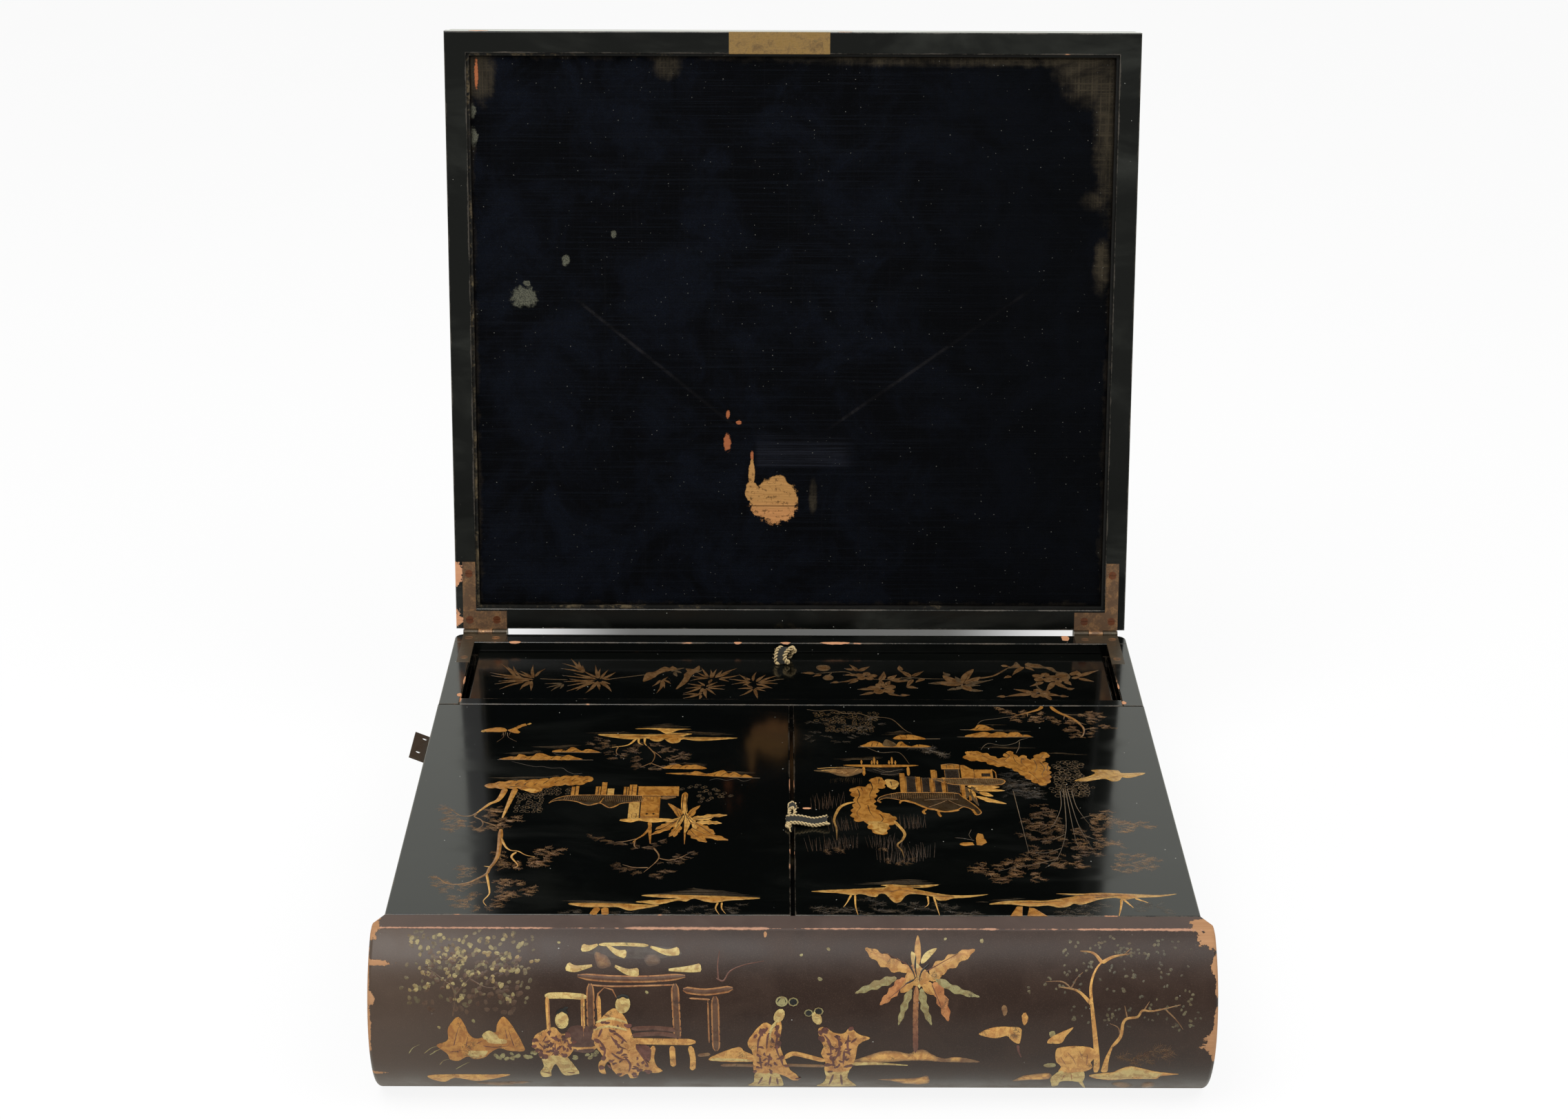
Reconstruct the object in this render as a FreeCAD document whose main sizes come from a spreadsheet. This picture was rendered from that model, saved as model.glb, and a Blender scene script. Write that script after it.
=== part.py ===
import FreeCAD, Part
import math
import os
import re
import Sketcher
from FreeCAD import Vector

# A black lacquer writing and ink box: a low carcase with a convex front, two
# flaps over the paper compartments, a long well for brush, inkstone and water
# dropper under a lift-out strip lid, and a velvet-faced lid on L hinges.
#
# Frame: millimetres, X to the right, Y from the convex front towards the lid
# hinges, Z up. The origin is the middle of the carcase's underside. Pieces of
# the lid are drawn shut and then turned about the hinge pins to stand open.

# ---------------------------------------------------------------------------
# Driving sizes
# ---------------------------------------------------------------------------

SIZES = (
    ("case_width", 400.0, "carcase, outside, left to right"),
    ("case_depth", 340.0, "carcase, hinge face to the convex panel"),
    ("case_height", 90.0, "carcase, underside to the rim"),
    ("bottom_thickness", 8.0, "bottom board"),
    ("side_wall", 12.0, "side walls and the rails above them"),
    ("back_wall", 12.0, "back wall and the rail above it"),
    ("cross_wall", 8.0, "wall between the strip well and the compartments"),
    ("centre_wall", 8.0, "wall between the two compartments"),
    ("strip_well", 78.0, "strip well, front to back"),
    ("rest_gap", 0.3, "air under a lid or flap that rests on the carcase"),
    ("edge_round", 0.8, "rounding of the lacquered arrises"),
    ("corner_round", 5.0, "rounding of the back corners, seen from above"),
    ("panel_length", 411.0, "convex front panel, left to right"),
    ("panel_band", 12.5, "flat band on top of the convex panel"),
    ("panel_bulge", 27.0, "how far the panel swells in front of its band"),
    ("panel_round", 2.5, "rounding of the panel's ends"),
    ("flap_thickness", 8.0, "compartment flaps"),
    ("flap_overhang", 0.2, "flap past the side wall"),
    ("flap_seam", 2.0, "gap between the two flaps"),
    ("flap_end_gap", 0.5, "gap at the front and back end of a flap"),
    ("strip_recess", 6.0, "strip lid below the rim"),
    ("strip_lid_thickness", 6.0, "strip lid"),
    ("strip_lid_end_gap", 2.4, "gap at the left and right end of the strip lid"),
    ("strip_lid_side_gap", 0.6, "gap before and behind the strip lid"),
    ("strip_lid_round", 1.2, "rounding of the strip lid's top arrises"),
    ("ledge_width", 6.0, "battens that carry the strip lid"),
    ("ledge_height", 8.0, "battens that carry the strip lid"),
    ("well_floor", 4.0, "lining board on the bottom of the strip well"),
    ("cell_wall", 5.0, "partitions in the strip well"),
    ("stone_clearance", 3.0, "room at each end of the inkstone in its cell"),
    ("dropper_clearance", 10.0, "room beside the water dropper in its cell"),
    ("stone_length", 92.0, "inkstone, left to right"),
    ("stone_width", 64.0, "inkstone, front to back"),
    ("stone_height", 16.0, "inkstone"),
    ("stone_rim", 5.0, "rim round the inkstone's grinding face"),
    ("stone_face_depth", 2.5, "grinding face below the rim"),
    ("stone_sea_length", 20.0, "ink pool at the inkstone's left end"),
    ("stone_sea_depth", 8.0, "ink pool below the rim"),
    ("stone_round", 3.0, "inkstone's upright corners"),
    ("dropper_radius", 21.0, "water dropper"),
    ("dropper_height", 20.0, "water dropper"),
    ("dropper_wall", 1.5, "water dropper's shell"),
    ("dropper_hole", 1.2, "radius of the dropper's two holes"),
    ("lid_board_thickness", 12.0, "lid board"),
    ("lid_rim_width", 12.5, "rim round the velvet field"),
    ("lid_rim_height", 13.0, "rim round the velvet field"),
    ("lid_corner_round", 2.0, "upright corners of the lid"),
    ("velvet_recess", 4.0, "velvet below the face of the rim"),
    ("velvet_thickness", 4.0, "velvet and its padding"),
    ("slip_width", 1.5, "bead round the velvet"),
    ("slip_rise", 1.0, "bead above the velvet"),
    ("lid_angle", 99.7, "degrees from shut to the open stop"),
    ("strike_length", 58.0, "brass strike plate, left to right"),
    ("strike_shift", 7.7, "strike plate, left of the middle"),
    ("strike_thickness", 1.2, "brass strike plate"),
    ("nail_inset", 1.9, "strike nails from the plate's ends"),
    ("nail_from_edge", 8.7, "strike nails from the lid's free edge"),
    ("nail_radius", 1.2, "strike nails"),
    ("nail_length", 9.0, "strike nails"),
    ("hinge_plate", 1.2, "thickness of every hinge leaf"),
    ("hinge_gap", 0.3, "air between knuckles and beside them"),
    ("pin_clearance", 0.05, "hinge bore, radius over the pin's"),
    ("lid_hinge_length", 26.0, "lid hinge, along the pin"),
    ("lid_hinge_width", 11.0, "lid hinge leaf, across the back rim"),
    ("lid_hinge_leg", 41.0, "lid hinge leaf, along the side rim"),
    ("lid_hinge_inset", 4.3, "lid hinge from the side of the box"),
    ("lid_knuckle", 1.8, "lid hinge barrel radius"),
    ("lid_pin", 0.9, "lid hinge pin radius"),
    ("stop_reach", 8.0, "hinge stop behind the pin"),
    ("stop_start", 4.0, "hinge stop's upstand behind the pin"),
    ("stop_arm", 2.4, "thickness of the hinge stop's arm"),
    ("lid_screw_head", 2.4, "lid hinge screw head radius"),
    ("lid_screw_shank", 1.1, "lid hinge screw shank radius"),
    ("lid_screw_length", 7.5, "lid hinge screw"),
    ("flap_hinge_length", 30.0, "flap hinge, along the pin"),
    ("flap_hinge_reach", 10.5, "flap hinge leaf, pin to free edge"),
    ("flap_hinge_setback", 45.0, "middle of a flap hinge from the flap's end"),
    ("flap_knuckle", 1.7, "flap hinge barrel radius"),
    ("flap_pin", 0.8, "flap hinge pin radius"),
    ("flap_screw_head", 2.1, "flap hinge screw head radius"),
    ("flap_screw_shank", 1.4, "flap hinge screw shank radius"),
    ("flap_screw_length", 6.0, "flap hinge screw"),
    ("flap_screw_near", 4.6, "nearer screw from the pin"),
    ("flap_screw_far", 6.4, "farther screw from the pin"),
    ("flap_screw_rear", 4.4, "nearer screw from the leaf's rear end"),
    ("flap_screw_front", 8.1, "farther screw from the leaf's front end"),
    ("head_depth", 0.9, "countersunk part of a screw"),
    ("slot_width", 0.7, "screwdriver slot"),
    ("slot_depth", 0.4, "screwdriver slot"),
    ("loose_turn", 202.7, "degrees that the loose hinge leaf has swung out"),
    ("tab_width", 9.6, "pull tab ribbon"),
    ("tab_thickness", 1.6, "pull tab ribbon"),
    ("tab_length", 18.0, "pull tab that lies on the right flap"),
    ("tab_place", 73.3, "lying tab, in front of the carcase's middle"),
    ("stub_place", 61.5, "standing tab, in front of the carcase's middle"),
    ("stub_height", 3.2, "standing tab above the flap"),
    ("loop_width", 8.6, "pull loop, left to right"),
    ("loop_depth", 6.0, "pull loop, front to back"),
    ("loop_height", 9.0, "pull loop above the strip lid"),
    ("loop_shift", 4.0, "pull loop, left of the middle"),
    ("loop_setback", 15.0, "pull loop, in front of the strip lid's back edge"),
)

NAMES = {name for name, value, note in SIZES}

doc = FreeCAD.newDocument("ink_box")
sheet = doc.addObject("Spreadsheet::Sheet", "Sizes")
for row, (name, value, note) in enumerate(SIZES, start=1):
    sheet.set(f"A{row}", name)
    sheet.set(f"B{row}", str(value))
    sheet.set(f"C{row}", note)
    sheet.setAlias(f"B{row}", name)
doc.recompute()

# ---------------------------------------------------------------------------
# Places worked out from the driving sizes
# ---------------------------------------------------------------------------

HALF = "(case_width / 2)"
INNER = "(case_width / 2 - side_wall)"
BACK = "(case_depth / 2)"
FRONT = "(-case_depth / 2)"
WALL_TOP = "(case_height - flap_thickness - rest_gap)"
WELL_BACK = "(case_depth / 2 - back_wall)"
WELL_FRONT = "(case_depth / 2 - back_wall - strip_well)"
CROSS_FRONT = "(case_depth / 2 - back_wall - strip_well - cross_wall)"
STRIP_TOP = "(case_height - strip_recess)"
STRIP_UNDER = "(case_height - strip_recess - strip_lid_thickness)"
LEDGE_TOP = f"({STRIP_UNDER} - rest_gap)"
LEDGE_UNDER = f"({LEDGE_TOP} - ledge_height)"
FLOOR_TOP = "(bottom_thickness + well_floor)"
SECOND_CELL_WALL = f"({INNER} - 2 * (dropper_radius + dropper_clearance) - cell_wall)"
FIRST_CELL_WALL = f"({SECOND_CELL_WALL} - stone_length - 2 * stone_clearance - cell_wall)"

LID_FACE = "(case_height + rest_gap)"
LID_FREE = "(-case_depth / 2 - panel_band)"
RIM_TOP = f"({LID_FACE} + lid_rim_height)"
LID_TOP = f"({RIM_TOP} + lid_board_thickness)"
VELVET_FACE = f"({LID_FACE} + velvet_recess)"
BACKING_FACE = f"({VELVET_FACE} + velvet_thickness)"
LID_PIN_Y = "(case_depth / 2 + lid_knuckle + hinge_gap)"
LID_PIN_Z = "(case_height + rest_gap / 2)"

FLAP_EDGE = "(case_width / 2 + flap_overhang)"
FLAP_UNDER = "(case_height - flap_thickness)"
FLAP_FRONT = "(-case_depth / 2 + flap_end_gap)"
FLAP_BACK = f"({CROSS_FRONT} - flap_end_gap)"
FLAP_PIN_Z = f"({FLAP_UNDER} - rest_gap / 2)"

nodes = []
in_lid = []


def sized(text):
    """The expression with the sheet's name before each alias."""
    return re.sub(r"[a-z][a-z0-9_]*",
                  lambda word: "Sizes." + word.group() if word.group() in NAMES else word.group(),
                  text)


def value(text):
    """The number that an expression has now."""
    return float(sheet.evalExpression(sized(text)))


def bind(thing, place, text):
    """Bind one property of an object to the sheet."""
    thing.setExpression(place, sized(text))


def turn_about(thing, axis, degrees, y="0", z="0", x="0"):
    """Turn a finished piece about a line through x, y, z."""
    bind(thing, "Placement",
         "create(<<placement>>; create(<<vector>>; 0; 0; 0); "
         f"create(<<rotation>>; create(<<vector>>; {axis}); {degrees}); "
         f"create(<<vector>>; {x}; {y}; {z}))")


def node(label, thing, lid=False):
    """Register a finished sub-part under its own name."""
    thing.Label = label
    nodes.append(thing)
    if lid:
        turn_about(thing, "1; 0; 0", "-lid_angle", y=LID_PIN_Y, z=LID_PIN_Z)
        in_lid.append(thing)
    return thing


# ---------------------------------------------------------------------------
# Forms
# ---------------------------------------------------------------------------

def block(name, x, y, z):
    """A box between a low and a high expression on each axis."""
    box = doc.addObject("Part::Box", name)
    for length, axis, (low, high) in (("Length", "x", x), ("Width", "y", y), ("Height", "z", z)):
        bind(box, length, f"({high}) - ({low})")
        bind(box, "Placement.Base." + axis, low)
    return box


TURNS = {"x": ("0; 1; 0", 90), "y": ("1; 0; 0", -90), "z": ("0; 0; 1", 0), "down": ("1; 0; 0", 180)}


def stand(thing, at, along):
    """Put a round form's foot at a point, pointing along an axis."""
    axis, degrees = TURNS[along]
    bind(thing, "Placement",
         f"create(<<placement>>; create(<<vector>>; {at[0]}; {at[1]}; {at[2]}); "
         f"create(<<rotation>>; create(<<vector>>; {axis}); {degrees}))")
    return thing


def rod(name, radius, length, at, along="z"):
    """A cylinder from a point along an axis."""
    cylinder = doc.addObject("Part::Cylinder", name)
    bind(cylinder, "Radius", radius)
    bind(cylinder, "Height", length)
    return stand(cylinder, at, along)


def joined(name, parts):
    """One solid from parts that touch or overlap."""
    fused = doc.addObject("Part::MultiFuse", name)
    fused.Shapes = parts
    fused.Refine = True
    return fused


def grouped(name, parts):
    """Several separate solids under one name."""
    compound = doc.addObject("Part::Compound", name)
    compound.Links = parts
    return compound


def without(name, base, tools):
    """A solid less its cutters."""
    cutter = tools[0] if len(tools) == 1 else grouped(name + "_cutters", tools)
    cut = doc.addObject("Part::Cut", name)
    cut.Base = base
    cut.Tool = cutter
    return cut


def near(a, b):
    """Whether two lengths are the same."""
    return abs(a - b) < 1e-4


def is_upright(edge):
    """Whether an edge runs straight up."""
    start, end = edge.Vertexes[0].Point, edge.Vertexes[-1].Point
    return near(start.x, end.x) and near(start.y, end.y) and not near(start.z, end.z)


def is_level_at(edge, height):
    """Whether an edge lies at one height and runs along X or Y."""
    start, end = edge.Vertexes[0].Point, edge.Vertexes[-1].Point
    level = near(start.z, height) and near(end.z, height)
    return level and (near(start.x, end.x) or near(start.y, end.y))


def eased(name, base, radius, chosen):
    """Round the chosen edges of a solid."""
    doc.recompute()
    fillet = doc.addObject("Part::Fillet", name)
    fillet.Base = base
    size = value(radius)
    picked = [i for i, edge in enumerate(base.Shape.Edges, start=1) if chosen(edge)]
    fillet.Edges = [(i, size, size) for i in picked]
    return fillet


def plane(body, role):
    """One of a body's own origin planes."""
    return next(item for item in body.Origin.OriginFeatures if item.Role == role)


def outline(body, name, role, lines, arcs=()):
    """A closed sketch: corner expressions in order, and arcs that replace a side.

    arcs holds (side number, radius expression, middle point of the arc)."""
    sketch = body.newObject("Sketcher::SketchObject", name)
    sketch.AttachmentSupport = (plane(body, role), [""])
    sketch.MapMode = "FlatFace"
    points = [Vector(value(x), value(y), 0) for x, y in lines]
    bulges = {side: (radius, middle) for side, radius, middle in arcs}
    for side, start in enumerate(points):
        end = points[(side + 1) % len(points)]
        if side in bulges:
            middle = Vector(*[value(text) for text in bulges[side][1]], 0)
            sketch.addGeometry(Part.Arc(start, middle, end), False)
        else:
            sketch.addGeometry(Part.LineSegment(start, end), False)
    starts = []
    ends = []
    for side, start in enumerate(points):
        flipped = side in bulges and sketch.getPoint(side, 1).distanceToPoint(start) > 1e-6
        starts.append(2 if flipped else 1)
        ends.append(1 if flipped else 2)
    for side in range(len(points)):
        following = (side + 1) % len(points)
        sketch.addConstraint(Sketcher.Constraint("Coincident", side, ends[side], following,
                                                 starts[following]))
    for side, (x, y) in enumerate(lines):
        for kind, text in (("DistanceX", x), ("DistanceY", y)):
            number = sketch.addConstraint(Sketcher.Constraint(kind, side, starts[side], value(text)))
            label = f"{kind}_{side}"
            sketch.renameConstraint(number, label)
            bind(sketch, "Constraints." + label, text)
    for side, (radius, middle) in bulges.items():
        number = sketch.addConstraint(Sketcher.Constraint("Radius", side, value(radius)))
        sketch.renameConstraint(number, f"Radius_{side}")
        bind(sketch, f"Constraints.Radius_{side}", radius)
    return sketch


def padded(name, role, lines, length, offset="0", arcs=(), middle=False):
    """A PartDesign body: an outline on an origin plane, drawn out to a length."""
    body = doc.addObject("PartDesign::Body", name)
    sketch = outline(body, name + "_outline", role, lines, arcs)
    bind(sketch, "AttachmentOffset.Base.z", offset)
    pad = body.newObject("PartDesign::Pad", name + "_pad")
    pad.Profile = sketch
    pad.Midplane = middle
    bind(pad, "Length", length)
    body.Tip = pad
    doc.recompute()
    return body


def softened(body, name, radius, chosen):
    """Round chosen edges of a PartDesign body."""
    base = body.Tip
    fillet = body.newObject("PartDesign::Fillet", name)
    picked = [f"Edge{i}" for i, edge in enumerate(base.Shape.Edges, start=1) if chosen(edge)]
    fillet.Base = (base, picked)
    bind(fillet, "Radius", radius)
    body.Tip = fillet
    doc.recompute()
    return body


def side_span(sign, inner, outer):
    """X range between two distances from the middle, on one side of it."""
    return (f"-({outer})", f"-({inner})") if sign < 0 else (inner, outer)


SIDES = (("left", -1), ("right", 1))


# ---------------------------------------------------------------------------
# Screws and hinge leaves
# ---------------------------------------------------------------------------

def screw_form(name, kind, at, along):
    """A countersunk screw's whole form, head flush with the point it starts at."""
    head = doc.addObject("Part::Cone", name + "_head")
    bind(head, "Radius1", kind + "_head")
    bind(head, "Radius2", kind + "_shank")
    bind(head, "Height", "head_depth")
    stand(head, at, along)
    shank = rod(name + "_shank", kind + "_shank", kind + "_length", at, along)
    return joined(name + "_form", [head, shank])


def slotted(name, kind, form, at, along):
    """The screw itself: its form less the screwdriver slot."""
    x, y, z = at
    deep = (z, f"{z} + slot_depth") if along == "z" else (f"{z} - slot_depth", z)
    across = (f"{x} - {kind}_head", f"{x} + {kind}_head")
    slot = block(name + "_slot", across, (f"{y} - slot_width / 2", f"{y} + slot_width / 2"), deep)
    return without(name, form, [slot])


def screws(name, kind, places, along):
    """Screw forms for cutting, and the group of screws that fill them."""
    forms = []
    made = []
    for number, at in enumerate(places, start=1):
        form = screw_form(f"{name}_{number}", kind, at, along)
        forms.append(form)
        made.append(slotted(f"{name}_{number}_screw", kind, form, at, along))
    return forms, made


def barrel_spans(ends, which):
    """The stretches of a hinge's length that one leaf's barrels take."""
    low, high = ends
    third = f"(({high}) - ({low})) / 3"
    first = f"({low}) + {third}"
    second = f"({high}) - {third}"
    if which == "middle":
        return [(f"{first} + hinge_gap / 2", f"{second} - hinge_gap / 2")]
    return [(low, f"{first} - hinge_gap / 2"), (f"{second} + hinge_gap / 2", high)]


def bar(name, along, lengthwise, crosswise, z):
    """A box measured along and across a hinge pin."""
    if along == "x":
        return block(name, lengthwise, crosswise, z)
    return block(name, crosswise, lengthwise, z)


def leaf(name, along, ends, which, pin, knuckle, bore, plates, tongue, z, cutters):
    """A hinge leaf: plates, tongues to its barrels, the barrels, less bore and screws.

    pin is (across, height) of the pin's line, tongue the range across that joins
    the plate to the pin's line."""
    parts = list(plates)
    for number, (low, high) in enumerate(barrel_spans(ends, which), start=1):
        parts.append(bar(f"{name}_tongue_{number}", along, (low, high), tongue, z))
        at = (low, pin[0], pin[1]) if along == "x" else (pin[0], low, pin[1])
        parts.append(rod(f"{name}_barrel_{number}", knuckle, f"({high}) - ({low})", at, along))
    low, high = ends
    at = (low, pin[0], pin[1]) if along == "x" else (pin[0], low, pin[1])
    hole = rod(name + "_bore", bore, f"({high}) - ({low})", at, along)
    return without(name, joined(name + "_blank", parts), [hole] + cutters)


# ---------------------------------------------------------------------------
# Carcase
# ---------------------------------------------------------------------------

def carcase(cuts):
    """Bottom, walls, partition walls and the rails of the rim."""
    node("bottom_board", block("bottom_box", (f"-{HALF}", HALF), (FRONT, BACK), ("0", "bottom_thickness")))
    upright = ("bottom_thickness", WALL_TOP)
    for side, sign in SIDES:
        wall = block(side + "_wall_box", side_span(sign, INNER, HALF), (FRONT, BACK), upright)
        node(side + "_wall", without(side + "_wall", wall, cuts[side + "_wall"]))
    inside = (f"-{INNER}", INNER)
    node("back_wall", block("back_wall_box", inside, (WELL_BACK, BACK), upright))
    node("cross_wall", block("cross_wall_box", inside, (CROSS_FRONT, WELL_FRONT), upright))
    node("centre_wall", block("centre_wall_box", ("-centre_wall / 2", "centre_wall / 2"),
                              (FRONT, CROSS_FRONT), upright))


def rails(cuts):
    """The four rails that frame the strip well at the height of the rim."""
    level = (WALL_TOP, "case_height")

    def is_back_corner(edge):
        return is_upright(edge) and near(edge.Vertexes[0].Point.y, value(BACK))

    def is_top(edge):
        return near(edge.Vertexes[0].Point.z, value("case_height")) and \
            near(edge.Vertexes[-1].Point.z, value("case_height"))

    back = block("back_rail_box", (f"-{HALF}", HALF), (WELL_BACK, BACK), level)
    back = eased("back_rail_corners", back, "corner_round", is_back_corner)
    back = eased("back_rail_arris", back, "edge_round", is_top)
    node("back_rail", without("back_rail", back, cuts["back_rail"]))
    for side, sign in SIDES:
        outer = sign * value(HALF)
        inner = sign * value(INNER)
        rail = block(side + "_rail_box", side_span(sign, INNER, HALF), (CROSS_FRONT, WELL_BACK), level)
        rail = eased(side + "_rail_arris", rail, "edge_round",
                     lambda edge: is_level_at(edge, value("case_height"))
                     and near(edge.Vertexes[0].Point.x, edge.Vertexes[-1].Point.x)
                     and (near(edge.Vertexes[0].Point.x, outer) or near(edge.Vertexes[0].Point.x, inner)))
        node(side + "_rail", without(side + "_rail", rail, cuts[side + "_rail"]))
    cross = block("cross_rail_box", (f"-{INNER}", INNER), (CROSS_FRONT, WELL_FRONT), level)
    node("cross_rail", eased("cross_rail", cross, "edge_round",
                             lambda edge: is_level_at(edge, value("case_height"))
                             and near(edge.Vertexes[0].Point.y, edge.Vertexes[-1].Point.y)))


def front_panel():
    """The thick convex panel that closes the front and overhangs both sides."""
    arris = f"({FRONT} - panel_band)"
    swell = f"({arris} - panel_bulge)"
    radius = "((case_height / 2) ^ 2 + panel_bulge ^ 2) / (2 * panel_bulge)"
    corners = ((FRONT, "0"), (FRONT, "case_height"), (arris, "case_height"), (arris, "0"))
    body = padded("front_panel", "YZ_Plane", corners, "panel_length", middle=True,
                  arcs=((2, radius, (swell, "case_height / 2")),))
    end = value("panel_length / 2")
    softened(body, "front_panel_ends", "panel_round",
             lambda edge: not isinstance(edge.Curve, Part.Line)
             and near(abs(edge.Vertexes[0].Point.x), end))
    node("front_panel", body)


# ---------------------------------------------------------------------------
# Strip well
# ---------------------------------------------------------------------------

def strip_well():
    """Battens, floor and partitions of the long well at the back."""
    inside = (f"-{INNER}", INNER)
    ledge = (LEDGE_UNDER, LEDGE_TOP)
    node("back_ledge", block("back_ledge_box", inside, (f"{WELL_BACK} - ledge_width", WELL_BACK), ledge))
    node("front_ledge", block("front_ledge_box", inside, (WELL_FRONT, f"{WELL_FRONT} + ledge_width"), ledge))
    node("well_floor", block("well_floor_box", inside, (WELL_FRONT, WELL_BACK),
                             ("bottom_thickness", FLOOR_TOP)))
    for name, low in (("brush_cell_wall", FIRST_CELL_WALL), ("stone_cell_wall", SECOND_CELL_WALL)):
        node(name, block(name + "_box", (low, f"{low} + cell_wall"), (WELL_FRONT, WELL_BACK),
                         (FLOOR_TOP, LEDGE_UNDER)))


def inkstone():
    """A slate block with a shallow grinding face and a deeper ink pool."""
    middle_x = f"(({FIRST_CELL_WALL} + cell_wall + {SECOND_CELL_WALL}) / 2)"
    middle_y = f"(({WELL_FRONT} + {WELL_BACK}) / 2)"
    x = (f"{middle_x} - stone_length / 2", f"{middle_x} + stone_length / 2")
    y = (f"{middle_y} - stone_width / 2", f"{middle_y} + stone_width / 2")
    top = f"({FLOOR_TOP} + stone_height)"
    stone = block("stone_block", x, y, (FLOOR_TOP, top))
    stone = eased("stone_corners", stone, "stone_round", is_upright)
    across = (f"{y[0]} + stone_rim", f"{y[1]} - stone_rim")
    face = block("stone_face", (f"{x[0]} + stone_rim", f"{x[1]} - stone_rim"), across,
                 (f"{top} - stone_face_depth", top))
    sea = block("stone_sea", (f"{x[0]} + stone_rim", f"{x[0]} + stone_rim + stone_sea_length"), across,
                (f"{top} - stone_sea_depth", top))
    node("inkstone", without("inkstone", stone, [joined("stone_hollow", [face, sea])]))


def water_dropper():
    """A small round brass vessel with an air hole and a pouring hole."""
    middle_x = f"(({SECOND_CELL_WALL} + cell_wall + {INNER}) / 2)"
    middle_y = f"(({WELL_FRONT} + {WELL_BACK}) / 2)"
    foot = (middle_x, middle_y, FLOOR_TOP)
    shell = rod("dropper_shell", "dropper_radius", "dropper_height", foot)
    shell = eased("dropper_shoulder", shell, "dropper_wall",
                  lambda edge: near(edge.Vertexes[0].Point.z, value(f"{FLOOR_TOP} + dropper_height"))
                  and near(edge.Vertexes[-1].Point.z, value(f"{FLOOR_TOP} + dropper_height")))
    hollow = rod("dropper_hollow", "dropper_radius - dropper_wall", "dropper_height - 2 * dropper_wall",
                 (middle_x, middle_y, f"{FLOOR_TOP} + dropper_wall"))
    holes = []
    for name, shift in (("dropper_air_hole", "0"), ("dropper_spout", "dropper_radius * 2 / 3")):
        holes.append(rod(name, "dropper_hole", "2 * dropper_wall",
                         (f"{middle_x} + {shift}", middle_y,
                          f"{FLOOR_TOP} + dropper_height - 2 * dropper_wall")))
    node("water_dropper", without("water_dropper", shell, [joined("dropper_space", [hollow] + holes)]))


def strip_lid():
    """The lift-out lid of the strip well, and its ribbon loop."""
    length = f"({INNER} - strip_lid_end_gap)"
    back = f"({WELL_BACK} - strip_lid_side_gap)"
    board = block("strip_lid_board", (f"-{length}", length), (f"{WELL_FRONT} + strip_lid_side_gap", back),
                  (STRIP_UNDER, STRIP_TOP))
    node("strip_lid", eased("strip_lid", board, "strip_lid_round",
                            lambda edge: is_level_at(edge, value(STRIP_TOP))))
    middle_y = f"({back} - loop_setback)"
    wide = ("-loop_shift - loop_width / 2", "-loop_shift + loop_width / 2")
    deep = (f"{middle_y} - loop_depth / 2", f"{middle_y} + loop_depth / 2")
    loop = block("loop_block", wide, deep, (STRIP_TOP, f"{STRIP_TOP} + loop_height"))
    eye = block("loop_eye", wide, (f"{deep[0]} + tab_thickness", f"{deep[1]} - tab_thickness"),
                (STRIP_TOP, f"{STRIP_TOP} + loop_height - tab_thickness"))
    node("strip_lid_loop", without("strip_lid_loop", loop, [eye]))


# ---------------------------------------------------------------------------
# Lid
# ---------------------------------------------------------------------------

def lid(cuts):
    """Board, mitred rims, velvet field, bead and strike plate."""
    depth = (LID_FREE, BACK)
    board = block("lid_board_box", (f"-{HALF}", HALF), depth, (RIM_TOP, LID_TOP))
    board = eased("lid_board_corners", board, "lid_corner_round", is_upright)
    node("lid_board", eased("lid_board_arris", board, "edge_round",
                            lambda edge: near(edge.Vertexes[0].Point.z, value(LID_TOP))
                            and near(edge.Vertexes[-1].Point.z, value(LID_TOP))), lid=True)
    inner = f"({HALF} - lid_rim_width)"
    inner_free = f"({LID_FREE} + lid_rim_width)"
    inner_hinge = f"({BACK} - lid_rim_width)"
    ring = {
        "lid_free_rim": ((f"-{HALF}", LID_FREE), (HALF, LID_FREE), (inner, inner_free), (f"-{inner}", inner_free)),
        "lid_hinge_rim": ((HALF, BACK), (f"-{HALF}", BACK), (f"-{inner}", inner_hinge), (inner, inner_hinge)),
        "lid_left_rim": ((f"-{HALF}", BACK), (f"-{HALF}", LID_FREE), (f"-{inner}", inner_free),
                         (f"-{inner}", inner_hinge)),
        "lid_right_rim": ((HALF, LID_FREE), (HALF, BACK), (inner, inner_hinge), (inner, inner_free)),
    }
    for name, corners in ring.items():
        body = padded(name + "_body", "XY_Plane", corners, "lid_rim_height", offset=LID_FACE)
        softened(body, name + "_arris", "edge_round", lambda edge: is_level_at(edge, value(LID_FACE)))
        tools = cuts.get(name)
        node(name, without(name, body, tools) if tools else body, lid=True)
    field = (f"-({inner} - slip_width)", f"{inner} - slip_width")
    field_deep = (f"{inner_free} + slip_width", f"{inner_hinge} - slip_width")
    node("velvet_backing", grouped("velvet_backing", [
        block("velvet_backing_box", (f"-{inner}", inner), (inner_free, inner_hinge), (BACKING_FACE, RIM_TOP))]),
        lid=True)
    node("velvet_field", grouped("velvet_field", [
        block("velvet_field_box", field, field_deep, (VELVET_FACE, BACKING_FACE))]), lid=True)
    bead_level = (f"{VELVET_FACE} - slip_rise", BACKING_FACE)
    bead = block("bead_block", (f"-{inner}", inner), (inner_free, inner_hinge), bead_level)
    node("velvet_bead", without("velvet_bead", bead, [block("bead_hollow", field, field_deep, bead_level)]),
         lid=True)


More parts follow.
